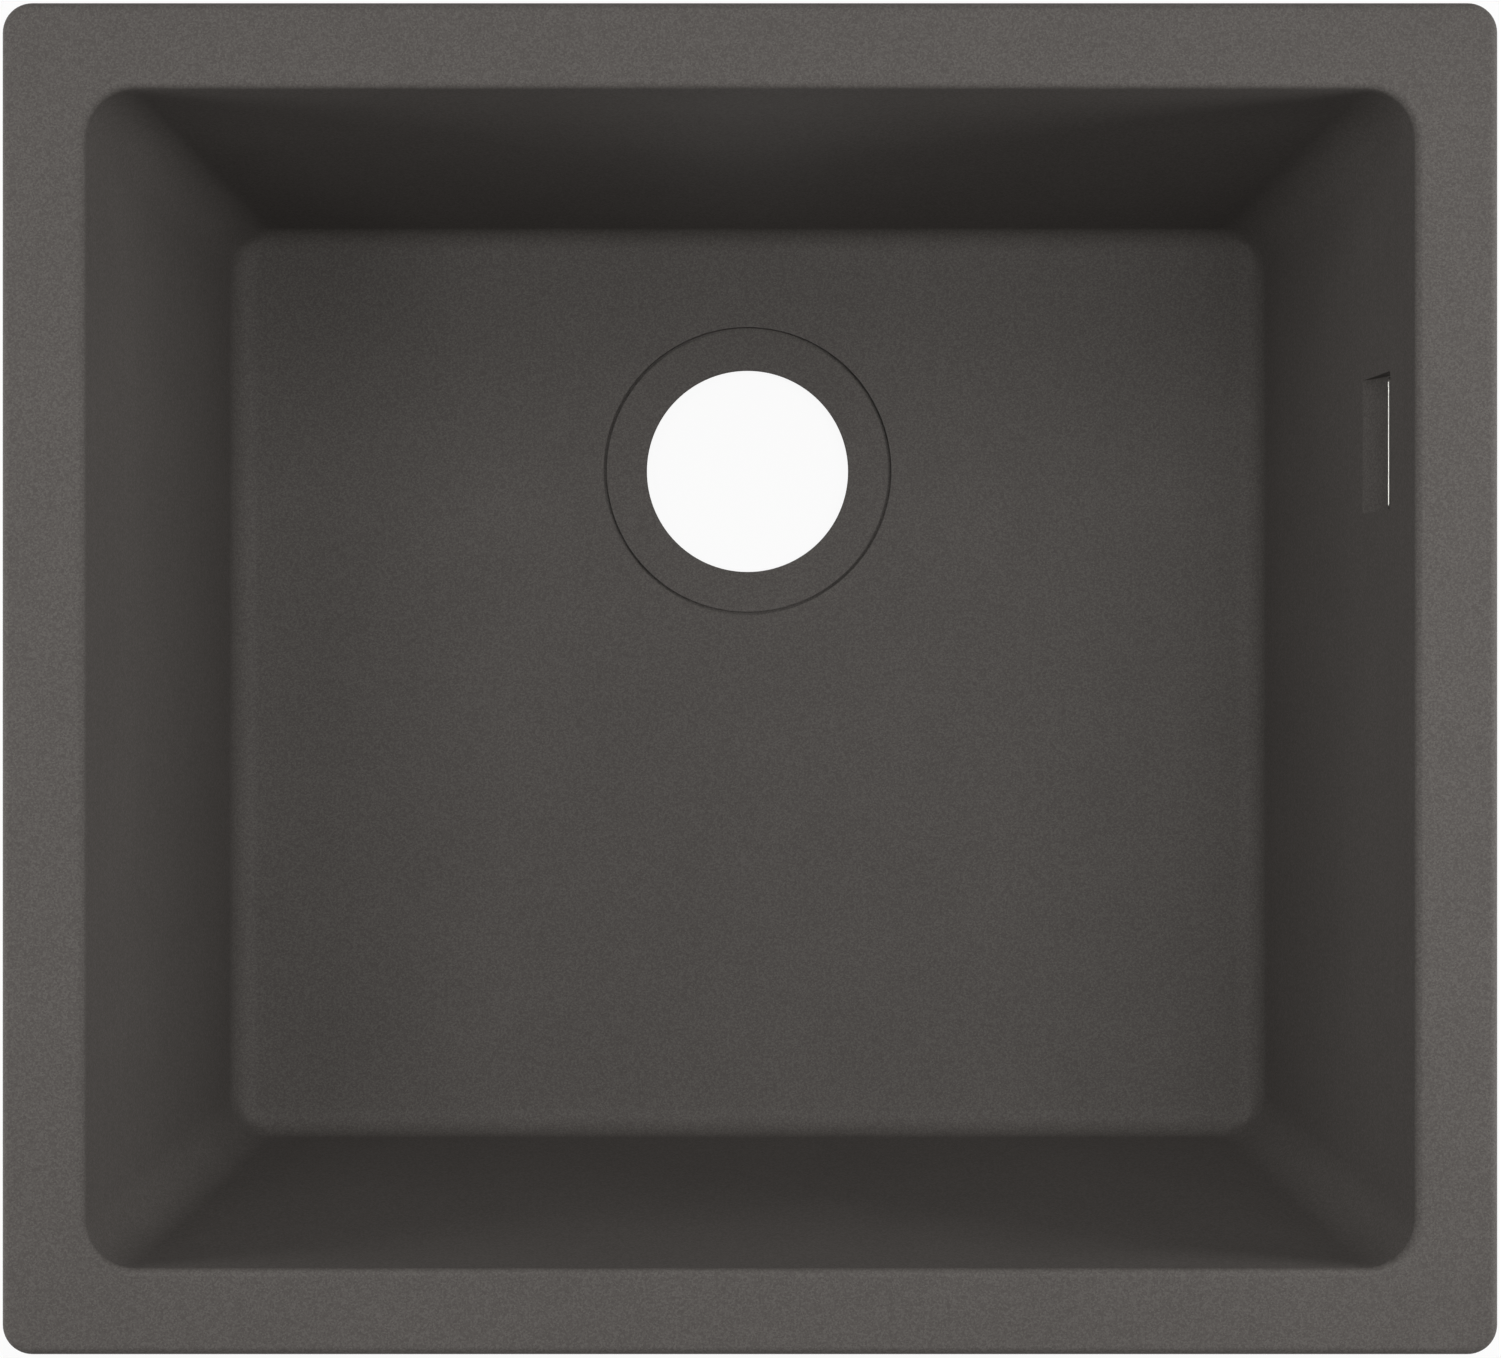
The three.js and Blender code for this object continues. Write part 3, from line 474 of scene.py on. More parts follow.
def rim_boss():
    """A boss under the rim at the origin, run back along -X into the wall."""
    root = WALL_THICKNESS + BRACKET_WIDTH / 2
    block((-root, -BOSS_RADIUS, BOSS_BOTTOM), (BOSS_RADIUS, BOSS_RADIUS, RIM_TOP - RIM_THICKNESS / 2))
    select("edges", lambda edge: runs_along(edge, Z) and edge.verts[0].co.x > 0)
    bpy.ops.mesh.bevel(offset=BOSS_RADIUS - TINY, segments=CORNER_SEGMENTS, affect="EDGES")
    select("edges", lambda edge: lies_at(BOSS_BOTTOM)(edge) and not lies_at(-root, X)(edge))
    bpy.ops.mesh.bevel(offset=BOSS_ROUND, segments=3, affect="EDGES")
    return stop()


def casting_outside():
    """The solid outside of the casting: rim, outer bowl, pad behind the overflow, and bosses."""
    rounded_block((BASIN_LOW.x, BASIN_LOW.y, RIM_TOP - RIM_THICKNESS), BASIN_HIGH, RIM_CORNER)
    select("edges", lies_at(RIM_TOP))
    bpy.ops.mesh.bevel(offset=RIM_TOP_ROUND, segments=8, affect="EDGES")
    select("edges", lies_at(RIM_TOP - RIM_THICKNESS))
    bpy.ops.mesh.bevel(offset=RIM_BOTTOM_ROUND, segments=6, affect="EDGES")
    rim = stop()
    outer_half = MOUTH_HALF + both(WALL_THICKNESS)
    bowl = tapered_box(
        outer_half, RIM_TOP - RIM_THICKNESS / 2, 0, UNDERSIDE_CORNER, UNDERSIDE_FILLET)
    outside = combine(rim, bowl, "UNION")
    start(outside)
    at_root = lies_at(RIM_TOP - RIM_THICKNESS)
    select("edges", lambda edge: at_root(edge) and lies_within(outer_half + both(TINY), edge))
    bpy.ops.mesh.bevel(offset=RIM_ROOT_FILLET, segments=8, affect="EDGES")
    stop()
    rounded_block(
        (PAD_FACE - WALL_THICKNESS, OVERFLOW.y - PAD_HALF.x, OVERFLOW.z - PAD_HALF.y),
        (PAD_FACE, OVERFLOW.y + PAD_HALF.x, OVERFLOW.z + PAD_HALF.y), PAD_CORNER, axis=X)
    select("edges", lies_at(PAD_FACE, X))
    bpy.ops.mesh.bevel(offset=PAD_ROUND, segments=3, affect="EDGES")
    combine(outside, stop(), "UNION")
    boss = rim_boss()
    bosses = gather([
        placed_copy(boss, pivot(fixing), quarter_turns(OUTWARD[fixing.split("_")[0]]))
        for fixing in FOLDED])
    bpy.data.objects.remove(boss)
    return combine(outside, bosses, "UNION")


def cavity():
    """The hollow of the bowl as a solid, down through the seat and the outlet."""
    floor = RIM_TOP - BOWL_DEPTH
    start(tapered_box(
        MOUTH_HALF, RIM_TOP + OVERSHOOT, floor + FLOOR_FALL, BOWL_CORNER, FLOOR_FILLET, BOWL_TUCK))
    select("faces", lies_at(floor + FLOOR_FALL))
    bpy.ops.mesh.delete(type="FACE")
    bpy.ops.mesh.primitive_circle_add(
        vertices=OUTLET_SEGMENTS, radius=SEAT_RADIUS, location=(OUTLET.x, OUTLET.y, floor))
    select("edges", lambda edge: edge.is_boundary or edge.is_wire)
    bpy.ops.mesh.bridge_edge_loops()
    select("edges", lambda edge: edge.is_boundary)
    draw_on([
        (SEAT_RADIUS, floor),
        (SEAT_RADIUS, floor - GROOVE_DEPTH),
        (SEAT_RADIUS - GROOVE_WIDTH, floor - GROOVE_DEPTH),
        (SEAT_RADIUS - GROOVE_WIDTH, floor),
        (OUTLET_RADIUS, floor - SEAT_DISH),
        (OUTLET_RADIUS + OUTLET_FLARE, -OVERSHOOT),
    ], OUTLET)
    bpy.ops.mesh.edge_face_add()
    select("edges", lies_at(floor - SEAT_DISH))
    bpy.ops.mesh.bevel(offset=OUTLET_ROUND, segments=5, affect="EDGES")
    bpy.ops.mesh.select_all(action="SELECT")
    bpy.ops.mesh.normals_make_consistent(inside=False)
    return stop()


def overflow_recess():
    """What is cut from the wall for the overflow: a recess that ramps out below, and the passage."""
    sill = OVERFLOW.z - PASSAGE_HALF.y - GAP
    foot = sill - SCOOP_RAMP
    wall_at_foot = MOUTH_HALF.x - lean(RIM_TOP - foot, BOWL_TUCK)
    back = SLEEVE_LOW.x + GAP
    half_length = PASSAGE_HALF.x + SCOOP_MARGIN
    roof = OVERFLOW.z + PASSAGE_HALF.y + SCOOP_MARGIN
    block(
        (wall_at_foot - OVERSHOOT, OVERFLOW.y - half_length, foot),
        (back, OVERFLOW.y + half_length, roof))
    select("edges", lambda edge: runs_along(edge, X) and lies_at(roof)(edge))
    bpy.ops.mesh.bevel(offset=SCOOP_CORNER, segments=6, affect="EDGES")
    heights = [foot + SCOOP_RAMP * step / RAMP_STEPS for step in range(RAMP_STEPS + 1)]
    for height in heights[1:]:
        bpy.ops.mesh.select_all(action="SELECT")
        bpy.ops.mesh.bisect(plane_co=(0, 0, height), plane_no=(0, 0, 1))
    for height in heights[:-1]:
        select("verts", lambda vertex: abs(vertex.co.z - height) < TINY and vertex.co.x > back - TINY)
        share = ((sill - height) / SCOOP_RAMP) ** RAMP_HOLLOW
        bpy.ops.transform.translate(value=((wall_at_foot - back) * share, 0, 0))
    recess = stop()
    across(PASSAGE_HALF + both(GAP), SLEEVE_LOW.x, PAD_FACE + OVERSHOOT, SLEEVE_CORNER + GAP)
    return combine(recess, stop(), "UNION")


def basin(moulded_face, cast_back):
    """The casting: the bowl cut from its outside, with the overflow's way out and the inserts' pockets."""
    shell = combine(casting_outside(), cavity(), "DIFFERENCE")
    start(shell)
    at_top = lies_at(RIM_TOP)
    select("edges", lambda edge: at_top(edge) and lies_within(MOUTH_HALF + both(MM), edge))
    bpy.ops.mesh.bevel(offset=MOUTH_ROUND, segments=10, affect="EDGES")
    stop()
    combine(shell, overflow_recess(), "DIFFERENCE")
    pocket_top = BOSS_BOTTOM + RIM_INSERT["length"] + 2 * GAP
    pockets = [
        rod(RIM_INSERT["radius"] + GAP, pivot(fixing, BOSS_BOTTOM - OVERSHOOT), pivot(fixing, pocket_top))
        for fixing in FOLDED]
    pocket_end = PAD_FACE - EAR_INSERT["length"] - 2 * GAP
    pockets += [
        rod(EAR_INSERT["radius"] + GAP, ear(PAD_FACE + OVERSHOOT, side), ear(pocket_end, side))
        for side in (-1, 1)]
    combine(shell, gather(pockets), "DIFFERENCE")
    smooth(shell)
    finish(shell, "basin", "composite", moulded_face, cast_back)
    for face in shell.data.polygons:
        face.material_index = int(is_on_the_back(face))


def is_on_the_back(face):
    """Tells the outer walls, the pad, the bosses and the underside from what the mould's face shapes."""
    place = face.center
    mid_wall = MOUTH_HALF + both(WALL_THICKNESS / 2 - lean(RIM_TOP - place.z))
    outside = abs(place.x) > mid_wall.x or abs(place.y) > mid_wall.y
    underside = place.z < UNDERSIDE_FILLET and face.normal.z < -0.05
    return place.z < RIM_TOP - RIM_THICKNESS + TINY and outside or underside


# ---- overflow pieces ---------------------------------------------------------------------------------


def across(half, from_x, to_x, radius):
    """A rounded block through the wall, centred on the overflow, open in edit mode."""
    rounded_block(
        (from_x, OVERFLOW.y - half.x, OVERFLOW.z - half.y),
        (to_x, OVERFLOW.y + half.x, OVERFLOW.z + half.y), radius, axis=X, segments=6)


def overflow_sleeve(steel):
    """Folded sheet: a plate whose middle is drawn forward into a tube, then given its thickness."""
    face = SLEEVE_HIGH.x - SLEEVE_SHEET
    across(SLEEVE_HALF, face, SLEEVE_HIGH.x, SLEEVE_CORNER + SLEEVE_FLANGE)
    select("faces", lambda side: not lies_at(face, X)(side))
    bpy.ops.mesh.delete(type="FACE")
    bpy.ops.mesh.select_all(action="SELECT")
    bpy.ops.mesh.inset(thickness=SLEEVE_FLANGE)
    bpy.ops.mesh.extrude_region_move(TRANSFORM_OT_translate={"value": (SLEEVE_LOW.x - face, 0, 0)})
    bpy.ops.mesh.delete(type="ONLY_FACE")
    at_fold = lies_at(face, X)
    select("edges", lambda edge: at_fold(edge) and not edge.is_boundary and edge.calc_face_angle(0) > 1)
    bpy.ops.mesh.bevel(offset=SLEEVE_FOLD, segments=3, affect="EDGES")
    sleeve = stop()
    sheet = sleeve.modifiers.new("sheet", "SOLIDIFY")
    sheet.thickness = SLEEVE_SHEET
    sheet.offset = -1
    sheet.use_even_offset = True
    bpy.ops.object.modifier_apply(modifier=sheet.name)
    start(sleeve)
    at_nose = lies_at(SLEEVE_LOW.x, X)
    select("edges", lambda edge: at_nose(edge) and edge.calc_face_angle(0) > 1)
    bpy.ops.mesh.bevel(offset=SLEEVE_NOSE, segments=4, affect="EDGES")
    stop()
    smooth(sleeve)
    finish(sleeve, "overflow_sleeve", "stainless", steel)


def eared_plate(from_x, to_x):
    """The outline shared by the gasket and the collector's flange: a plate with an ear at each end."""
    across(PLATE_HALF, from_x, to_x, PLATE_CORNER)
    middle = stop()
    ears = [rod(EAR_RADIUS, ear(from_x, side), ear(to_x, side)) for side in (-1, 1)]
    start(gather([middle] + ears))
    bpy.ops.mesh.select_all(action="SELECT")
    bpy.ops.mesh.convex_hull()
    return stop()


def cut_window_and_holes(piece, from_x, to_x):
    """Cuts the water's way and the two screw holes."""
    across(PASSAGE_HALF + both(WINDOW_MARGIN), from_x, to_x, SLEEVE_CORNER)
    combine(piece, stop(), "DIFFERENCE")
    holes = [rod(EAR_HOLE, ear(from_x, side), ear(to_x, side)) for side in (-1, 1)]
    combine(piece, gather(holes), "DIFFERENCE")


def overflow_gasket(rubber):
    """A flat frame with a step that takes the sleeve's flange."""
    gasket = eared_plate(GASKET_LOW.x, GASKET_HIGH.x)
    across(
        SLEEVE_HALF + both(GAP), GASKET_LOW.x - OVERSHOOT, SLEEVE_HIGH.x + GAP,
        SLEEVE_CORNER + SLEEVE_FLANGE + GAP)
    combine(gasket, stop(), "DIFFERENCE")
    cut_window_and_holes(gasket, GASKET_LOW.x - OVERSHOOT, GASKET_HIGH.x + OVERSHOOT)
    soften(gasket, GASKET_EDGE)
    smooth(gasket)
    finish(gasket, "overflow_gasket", "rubber", rubber)


def chamber(inset):
    """The collector's chamber, which narrows to the spigot and has a toe in under the pad.

    With the inset of the walls it is the hollow.
    """
    face = COLLECTOR_FACE + (COLLECTOR_FLANGE if inset else 0)
    half = SLEEVE_HALF.x - inset
    toe_half = SPIGOT_RADIUS + COLLECTOR_WALL - inset
    top, bottom = COLLECTOR_TOP - inset, CHAMBER_FLOOR + inset
    block((face, OVERFLOW.y - half, bottom), (COLLECTOR_HIGH.x - inset, OVERFLOW.y + half, top))
    bpy.ops.mesh.select_all(action="SELECT")
    bpy.ops.mesh.bisect(plane_co=(0, 0, FUNNEL_TOP), plane_no=(0, 0, 1))
    select("verts", lambda vertex: vertex.co.z < bottom + TINY)
    bpy.ops.transform.resize(value=(1, toe_half / half, 1), center_override=(face, OVERFLOW.y, bottom))
    bpy.ops.mesh.select_all(action="SELECT")
    bpy.ops.mesh.bisect(plane_co=(0, 0, STEP - inset), plane_no=(0, 0, 1))
    select("faces", lambda side: lies_at(face, X)(side) and all(
        vertex.co.z < STEP - inset + TINY for vertex in side.verts))
    reach = SPIGOT_X - SPIGOT_RADIUS + inset - face
    bpy.ops.mesh.extrude_region_move(TRANSFORM_OT_translate={"value": (reach, 0, 0)})
    select("edges", lambda edge: lies_at(top)(edge) and not lies_at(face, X)(edge))
    bpy.ops.mesh.bevel(offset=COLLECTOR_ROUND - inset, segments=5, affect="EDGES")
    return stop()


def hose_spigot():
    """A barbed tube's outside, its end down at the origin, whose root stands in the chamber's floor."""
    root, crest = SPIGOT_RADIUS - BARB_HEIGHT / 2, SPIGOT_RADIUS + BARB_HEIGHT / 2
    rings = []
    for barb in range(BARB_COUNT):
        foot = BARB_PITCH * barb
        rings += [(root, foot), (crest, foot + BARB_PITCH / 2), (root, foot + BARB_PITCH / 2 + TINY)]
    rings.append((root, SPIGOT_LENGTH + COLLECTOR_WALL / 2))
    return turned(rings, 64)


def overflow_collector(plastic):
    """The chamber with its flange and spigot, then the hollow, the window, the holes and the bore."""
    collector = chamber(0)
    soften(collector, COLLECTOR_EDGE, angle=50)
    combine(collector, eared_plate(COLLECTOR_FACE, COLLECTOR_FACE + COLLECTOR_FLANGE), "UNION")
    spigot = hose_spigot()
    spigot.data.transform(Matrix.Translation((SPIGOT_X, OVERFLOW.y, COLLECTOR_LOW.z)))
    combine(collector, spigot, "UNION")
    combine(collector, chamber(COLLECTOR_WALL), "DIFFERENCE")
    cut_window_and_holes(collector, COLLECTOR_FACE - OVERSHOOT, COLLECTOR_FACE + COLLECTOR_FLANGE + TINY)
    bore = rod(
        SPIGOT_BORE, (SPIGOT_X, OVERFLOW.y, COLLECTOR_LOW.z - OVERSHOOT),
        (SPIGOT_X, OVERFLOW.y, CHAMBER_FLOOR + 2 * COLLECTOR_WALL))
    combine(collector, bore, "DIFFERENCE")
    smooth(collector)
    finish(collector, "overflow_collector", "plastic", plastic)


# ---- fasteners and brackets, each made along +Z at the origin ----------------------------------------


def threaded_insert(size):
    """A tube with a groove round its waist, by which the casting holds it."""
    low, high = (size["length"] - size["groove"]) / 2, (size["length"] + size["groove"]) / 2
    waist = size["radius"] - size["depth"]
    insert = turned([
        (size["bore"], 0), (size["radius"], 0), (size["radius"], low), (waist, low), (waist, high),
        (size["radius"], high), (size["radius"], size["length"]), (size["bore"], size["length"]),
        (size["bore"], 0)])
    soften(insert, INSERT_EDGE)
    smooth(insert)
    return insert


def washer():
    bore, radius, thickness = WASHER["bore"], WASHER["radius"], WASHER["thickness"]
    ring = turned([(bore, 0), (radius, 0), (radius, thickness), (bore, thickness), (bore, 0)])
    soften(ring, WASHER_EDGE)
    smooth(ring)
    return ring


def hex_screw():
    """The head hangs below height 0, its corners turned off below, and the shank stands above it."""
    head, height, shank = HEX_SCREW["head"], HEX_SCREW["height"], HEX_SCREW["radius"]
    screw = rod(head, (0, 0, -height), (0, 0, 0), 6)
    crown = turned([(head - HEX_CHAMFER * 2, -height), (head, -height + HEX_CHAMFER), (head, 0)])
    combine(screw, crown, "INTERSECT")
    tip = HEX_SCREW["length"]
    stem = turned([(shank, -height / 2), (shank, tip - THREAD_CHAMFER), (shank - THREAD_CHAMFER, tip)])
    combine(screw, stem, "UNION")
    soften(screw, SCREW_EDGE, angle=25)
    smooth(screw, angle=30)
    return screw


def pan_screw():
    """The domed head hangs below height 0, with a cross recess, and the shank stands above it."""
    head, height, shank = PAN_SCREW["head"], PAN_SCREW["height"], PAN_SCREW["radius"]
    turns = [math.radians(degrees) for degrees in range(0, 91, 15)]
    crown = [(head - height * (1 - math.sin(turn)), -height * math.cos(turn)) for turn in turns]
    tip = PAN_SCREW["length"]
    screw = turned(crown + [(shank, 0), (shank, tip - THREAD_CHAMFER), (shank - THREAD_CHAMFER, tip)])
    for axis in (X, Y):
        half = Vector((CROSS_WIDTH, CROSS_WIDTH, 0)) / 2
        half[axis] = CROSS_LENGTH / 2
        block((-half.x, -half.y, -2 * height), (half.x, half.y, -height + CROSS_DEPTH))
        select("verts", lambda vertex: vertex.co.z > -height)
        taper = [1, 1, 1]
        taper[axis] = CROSS_TAPER
        bpy.ops.transform.resize(value=taper, center_override=(0, 0, 0))
        combine(screw, stop(), "DIFFERENCE")
    smooth(screw)
    return screw


def swing_bracket():
    """A flat bracket along +X from its pivot, stamped from strip, with a slot for the worktop's stud."""
    half = BRACKET_WIDTH / 2
    block((-half, -half, 0), (BRACKET_REACH, half, BRACKET_THICKNESS))
    select("edges", lambda edge: runs_along(edge, Z) and edge.verts[0].co.x < 0)
    bpy.ops.mesh.bevel(offset=half - TINY, segments=16, affect="EDGES")
    select("edges", lambda edge: runs_along(edge, Z) and lies_at(BRACKET_REACH, X)(edge))
    bpy.ops.mesh.bevel(offset=BRACKET_TIP, segments=6, affect="EDGES")
    plate = stop()
    below, above = -OVERSHOOT, BRACKET_THICKNESS + OVERSHOOT
    combine(plate, rod(BRACKET_HOLE, (0, 0, below), (0, 0, above)), "DIFFERENCE")
    rounded_block(
        (SLOT_CENTRE - SLOT_LENGTH / 2, -SLOT_WIDTH / 2, below),
        (SLOT_CENTRE + SLOT_LENGTH / 2, SLOT_WIDTH / 2, above), SLOT_WIDTH / 2 - TINY)
    combine(plate, stop(), "DIFFERENCE")
    soften(plate, STAMPED_EDGE)
    smooth(plate)
    return plate


def rim_fixings(zinc, brass):
    """Sets out eight copies of each model, on the brackets' axes."""
    models = {
        "insert": (threaded_insert(RIM_INSERT), "brass", brass),
        "bracket": (swing_bracket(), "zinc", zinc),
        "washer": (washer(), "zinc", zinc),
        "screw": (hex_screw(), "zinc", zinc),
    }
    for fixing, folded in FOLDED.items():
        for piece, (model, slot, metal) in models.items():
            node = f"{fixing}_{piece}"
            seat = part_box(node)[0][Z] + (HEX_SCREW["height"] if piece == "screw" else 0)
            turns, body = (folded, fixing + "_swing") if piece == "bracket" else (0, "sink")
            copy = placed_copy(model, pivot(fixing, seat), quarter_turns(turns))
            finish(copy, node, slot, metal, body=body)
    for model, _, _ in models.values():
        bpy.data.objects.remove(model)


def ear_fixings(steel, brass):
    """The collector's screws and inserts, with their heads towards +X."""
    to_the_right = Matrix.Rotation(-math.pi / 2, 4, "Y")
    models = {
        "insert": (threaded_insert(EAR_INSERT), "brass", brass),
        "screw": (pan_screw(), "stainless", steel),
    }
    for end, side in (("front", -1), ("back", 1)):
        for piece, (model, slot, metal) in models.items():
            node = f"overflow_{piece}_{end}"
            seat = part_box(node)[1][X] - (PAN_SCREW["height"] if piece == "screw" else 0)
            finish(placed_copy(model, ear(seat, side), to_the_right), node, slot, metal)
    for model, _, _ in models.values():
        bpy.data.objects.remove(model)


# ---- materials ---------------------------------------------------------------------------------------


def colour(code):
    """An sRGB hex colour as linear light."""
    channels = [int(code[place:place + 2], 16) / 255 for place in (1, 3, 5)]
    return [c / 12.92 if c <= 0.04045 else ((c + 0.055) / 1.055) ** 2.4 for c in channels] + [1]


def add_node(tree, kind, settings=None, links=None):
    """Adds a node. A link's value is another node's output, or a constant for the node's own socket."""
    made = tree.nodes.new(kind)
    for name, value in (settings or {}).items():
        setattr(made, name, value)
    for name, value in (links or {}).items():
        if isinstance(value, bpy.types.NodeSocket):
            tree.links.new(value, made.inputs[name])
        else:
            made.inputs[name].default_value = value
    return made


def new_material(name):
    material = bpy.data.materials.new(name)
    material.use_nodes = True
    material.node_tree.nodes.clear()
    return material, material.node_tree


def grain_scale(size):
    """The scale that gives a noise or cell pattern on Object coordinates grains of a size."""
    return 1 / size


def composite(name, shades, chip, roughness, bump):
    """Grains in three shades, cell by cell, with a slow drift of tone and a fine relief."""
    material, tree = new_material(name)
    place = add_node(tree, "ShaderNodeTexCoord").outputs["Object"]
    grains = add_node(tree, "ShaderNodeTexVoronoi", None, {"Vector": place, "Scale": grain_scale(chip)})
    shade = add_node(tree, "ShaderNodeSeparateColor", None, {"Color": grains.outputs["Color"]})
    peppering = add_node(tree, "ShaderNodeValToRGB", None, {"Fac": shade.outputs["Red"]})
    ramp = peppering.color_ramp.elements
    ramp.new(0.5)
    for mark, position, code in zip(ramp, CHIP_SHADES_AT, shades):
        mark.position, mark.color = position, colour(code)
    clouds = add_node(tree, "ShaderNodeTexNoise", None, {
        "Vector": place, "Scale": grain_scale(CLOUD_SIZE), "Detail": 3})
    drift = add_node(tree, "ShaderNodeMapRange", None, {
        "Value": clouds.outputs["Fac"], "From Min": 0.3, "From Max": 0.7,
        "To Min": 1 - CLOUD_DRIFT, "To Max": 1 + CLOUD_DRIFT})
    tinted = add_node(tree, "ShaderNodeVectorMath", {"operation": "SCALE"}, {
        "Vector": peppering.outputs["Color"], "Scale": drift.outputs["Result"]})
    skin = add_node(tree, "ShaderNodeTexNoise", None, {
        "Vector": place, "Scale": grain_scale(GRIT_SIZE), "Detail": 2})
    dullness = add_node(tree, "ShaderNodeMapRange", None, {
        "Value": skin.outputs["Fac"],
        "To Min": roughness - COMPOSITE_UNEVEN, "To Max": roughness + COMPOSITE_UNEVEN})
    relief = add_node(tree, "ShaderNodeBump", None, {"Height": skin.outputs["Fac"], "Distance": bump})
    shader = add_node(tree, "ShaderNodeBsdfPrincipled", None, {
        "Base Color": tinted.outputs["Vector"], "Roughness": dullness.outputs["Result"],
        "IOR": 1.5, "Specular IOR Level": COMPOSITE_SHEEN, "Normal": relief.outputs["Normal"]})
    add_node(tree, "ShaderNodeOutputMaterial", None, {"Surface": shader.outputs["BSDF"]})
    return material


def plain(name, code, metallic, roughness, grain, bump, stretch=(1, 1, 1)):
    """One colour with a fine relief and an uneven gloss, drawn out along an axis where it was brushed."""
    material, tree = new_material(name)
    place = add_node(tree, "ShaderNodeTexCoord").outputs["Object"]
    drawn = add_node(tree, "ShaderNodeMapping", None, {"Vector": place, "Scale": stretch})
    texture = add_node(tree, "ShaderNodeTexNoise", None, {
        "Vector": drawn.outputs["Vector"], "Scale": grain_scale(grain), "Detail": 3})
    gloss = add_node(tree, "ShaderNodeMapRange", None, {
        "Value": texture.outputs["Fac"],
        "To Min": roughness - PLAIN_UNEVEN, "To Max": roughness + PLAIN_UNEVEN})
    relief = add_node(tree, "ShaderNodeBump", None, {"Height": texture.outputs["Fac"], "Distance": bump})
    shader = add_node(tree, "ShaderNodeBsdfPrincipled", None, {
        "Base Color": colour(code), "Metallic": metallic, "Roughness": gloss.outputs["Result"],
        "Normal": relief.outputs["Normal"]})
    add_node(tree, "ShaderNodeOutputMaterial", None, {"Surface": shader.outputs["BSDF"]})
    return material


# ---- the sink ----------------------------------------------------------------------------------------

# Quartz sand in a pigmented resin, cast in a closed mould. The mould's fine half leaves the bowl and the
# rim matt and even, with a faint sheen, and peppered with grains a little darker or paler than the resin.
moulded_face = composite(
    "moulded quartz composite", shades=("#5B5754", "#635F5C", "#6D6966"), chip=FACE_CHIP,
    roughness=0.62, bump=0.012 * MM)
# The back of the same casting, from the mould's plain half: duller, a shade darker and rougher.
cast_back = composite(
    "cast back of quartz composite", shades=("#54504D", "#5C5855", "#66625F"), chip=BACK_CHIP,
    roughness=0.8, bump=0.05 * MM)
# Rolled stainless sheet, brushed before it is folded: fine lines along the slot draw each highlight out.
brushed_steel = plain(
    "brushed stainless steel", "#C4C2BD", metallic=1, roughness=0.3, grain=BRUSH_LINE,
    bump=0.004 * MM, stretch=BRUSH_STRETCH)
# Steel pressings and screws plated with bright zinc in a barrel: a cool grey, half shiny, faintly uneven.
zinc_plate = plain(
    "bright zinc plate on steel", "#B3B5B6", metallic=1, roughness=0.38, grain=PLATE_GRAIN,
    bump=0.006 * MM)
# Brass bar turned on a lathe: a warm yellow with a fine dull grain from the tool.
turned_brass = plain(
    "turned brass", "#B08D4F", metallic=1, roughness=0.35, grain=BRUSH_LINE, bump=0.004 * MM)
# Black rubber pressed in a mould: nearly without shine, and black with a trace of grey.
moulded_rubber = plain(
    "moulded black rubber", "#1F1F20", metallic=0, roughness=0.75, grain=RUBBER_GRAIN, bump=0.01 * MM)
# Polypropylene injected into a finely etched mould: dark grey, satin, slightly waxy.
polypropylene = plain(
    "moulded polypropylene", "#2B2C2E", metallic=0, roughness=0.5, grain=ETCH_GRAIN, bump=0.008 * MM)

basin(moulded_face, cast_back)
overflow_sleeve(brushed_steel)
overflow_gasket(moulded_rubber)
overflow_collector(polypropylene)
rim_fixings(zinc_plate, turned_brass)
ear_fixings(brushed_steel, turned_brass)

# ---- stage, light and camera -------------------------------------------------------------------------


def white_to_the_eye(tree):
    """1 for what the camera sees, straight, in a reflection or through something, and 0 for light."""
    path = add_node(tree, "ShaderNodeLightPath")
    straight = add_node(tree, "ShaderNodeMath", {"operation": "MAXIMUM"}, {
        0: path.outputs["Is Camera Ray"], 1: path.outputs["Is Glossy Ray"]})
    seen = add_node(tree, "ShaderNodeMath", {"operation": "MAXIMUM"}, {
        0: straight.outputs["Value"], 1: path.outputs["Is Transmission Ray"]})
    return seen.outputs["Value"]


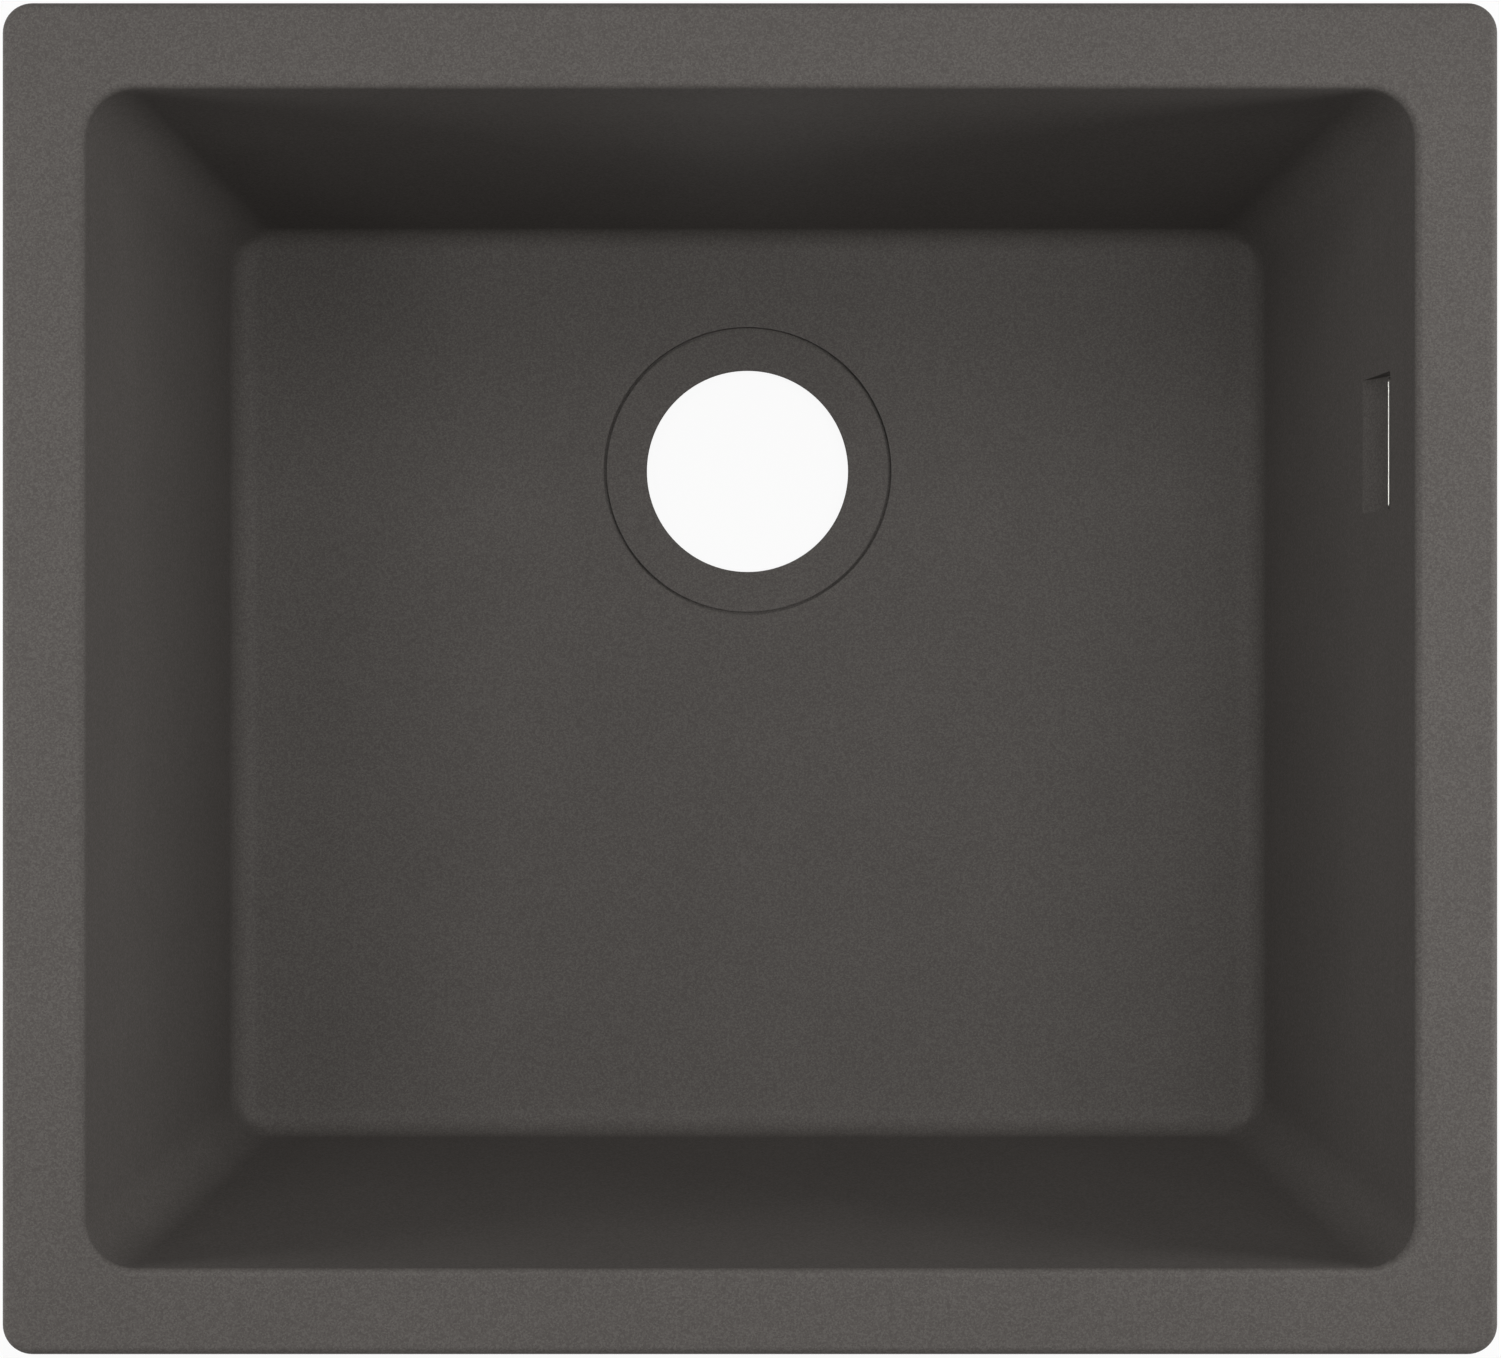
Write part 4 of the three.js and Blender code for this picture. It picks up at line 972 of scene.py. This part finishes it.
def stage_floor():
    """White paper: a share of its own light for the eye, so that it stays white and keeps the shadow."""
    bpy.ops.object.select_all(action="DESELECT")
    bpy.ops.mesh.primitive_plane_add(size=FLOOR_SIZE, location=(0, 0, -FLOOR_GAP))
    floor = settled()
    floor.name = "floor"
    material, tree = new_material("white paper floor")
    paper = add_node(tree, "ShaderNodeBsdfDiffuse", None, {"Color": colour(PAPER)})
    white = add_node(tree, "ShaderNodeEmission", None, {"Strength": 1})
    share = add_node(tree, "ShaderNodeMath", {"operation": "MULTIPLY"}, {
        0: white_to_the_eye(tree), 1: FLOOR_WHITE})
    mix = add_node(tree, "ShaderNodeMixShader", None, {
        0: share.outputs["Value"], 1: paper.outputs["BSDF"], 2: white.outputs["Emission"]})
    add_node(tree, "ShaderNodeOutputMaterial", None, {"Surface": mix.outputs["Shader"]})
    floor.data.materials.append(material)


def studio_world():
    """Faint light from all round, and white to the eye."""
    world = bpy.data.worlds.new("studio")
    bpy.context.scene.world = world
    world.use_nodes = True
    tree = world.node_tree
    tree.nodes.clear()
    ambient = add_node(tree, "ShaderNodeBackground", None, {"Color": WHITE, "Strength": AMBIENT})
    white = add_node(tree, "ShaderNodeBackground", None, {"Color": WHITE, "Strength": 1})
    mix = add_node(tree, "ShaderNodeMixShader", None, {
        0: white_to_the_eye(tree), 1: ambient.outputs["Background"], 2: white.outputs["Background"]})
    add_node(tree, "ShaderNodeOutputWorld", None, {"Surface": mix.outputs["Shader"]})


def softbox(name, place, size, watts):
    """A rectangular lamp that faces the middle of the sink's mouth."""
    bpy.ops.object.select_all(action="DESELECT")
    facing = (Vector(LIT_POINT) - Vector(place)).to_track_quat("-Z", "Y").to_euler()
    bpy.ops.object.light_add(type="AREA", location=place, rotation=facing)
    box = bpy.context.object
    box.name = name
    box.data.shape = "RECTANGLE"
    box.data.size, box.data.size_y = size
    box.data.energy = watts


def overhead_camera():
    """Looks straight down, as the photograph does."""
    bpy.ops.object.camera_add(location=CAMERA_PLACE, rotation=(0, 0, 0))
    camera = bpy.context.object
    camera.name = "camera"
    camera.data.sensor_width = CAMERA_SENSOR
    camera.data.lens = CAMERA_LENS
    camera.data.shift_x, camera.data.shift_y = CAMERA_SHIFT
    bpy.context.scene.camera = camera


stage_floor()
studio_world()
for name, place, size, watts in SOFTBOXES:
    softbox(name, place, size, watts)
overhead_camera()
bpy.context.scene.view_settings.view_transform = "Standard"
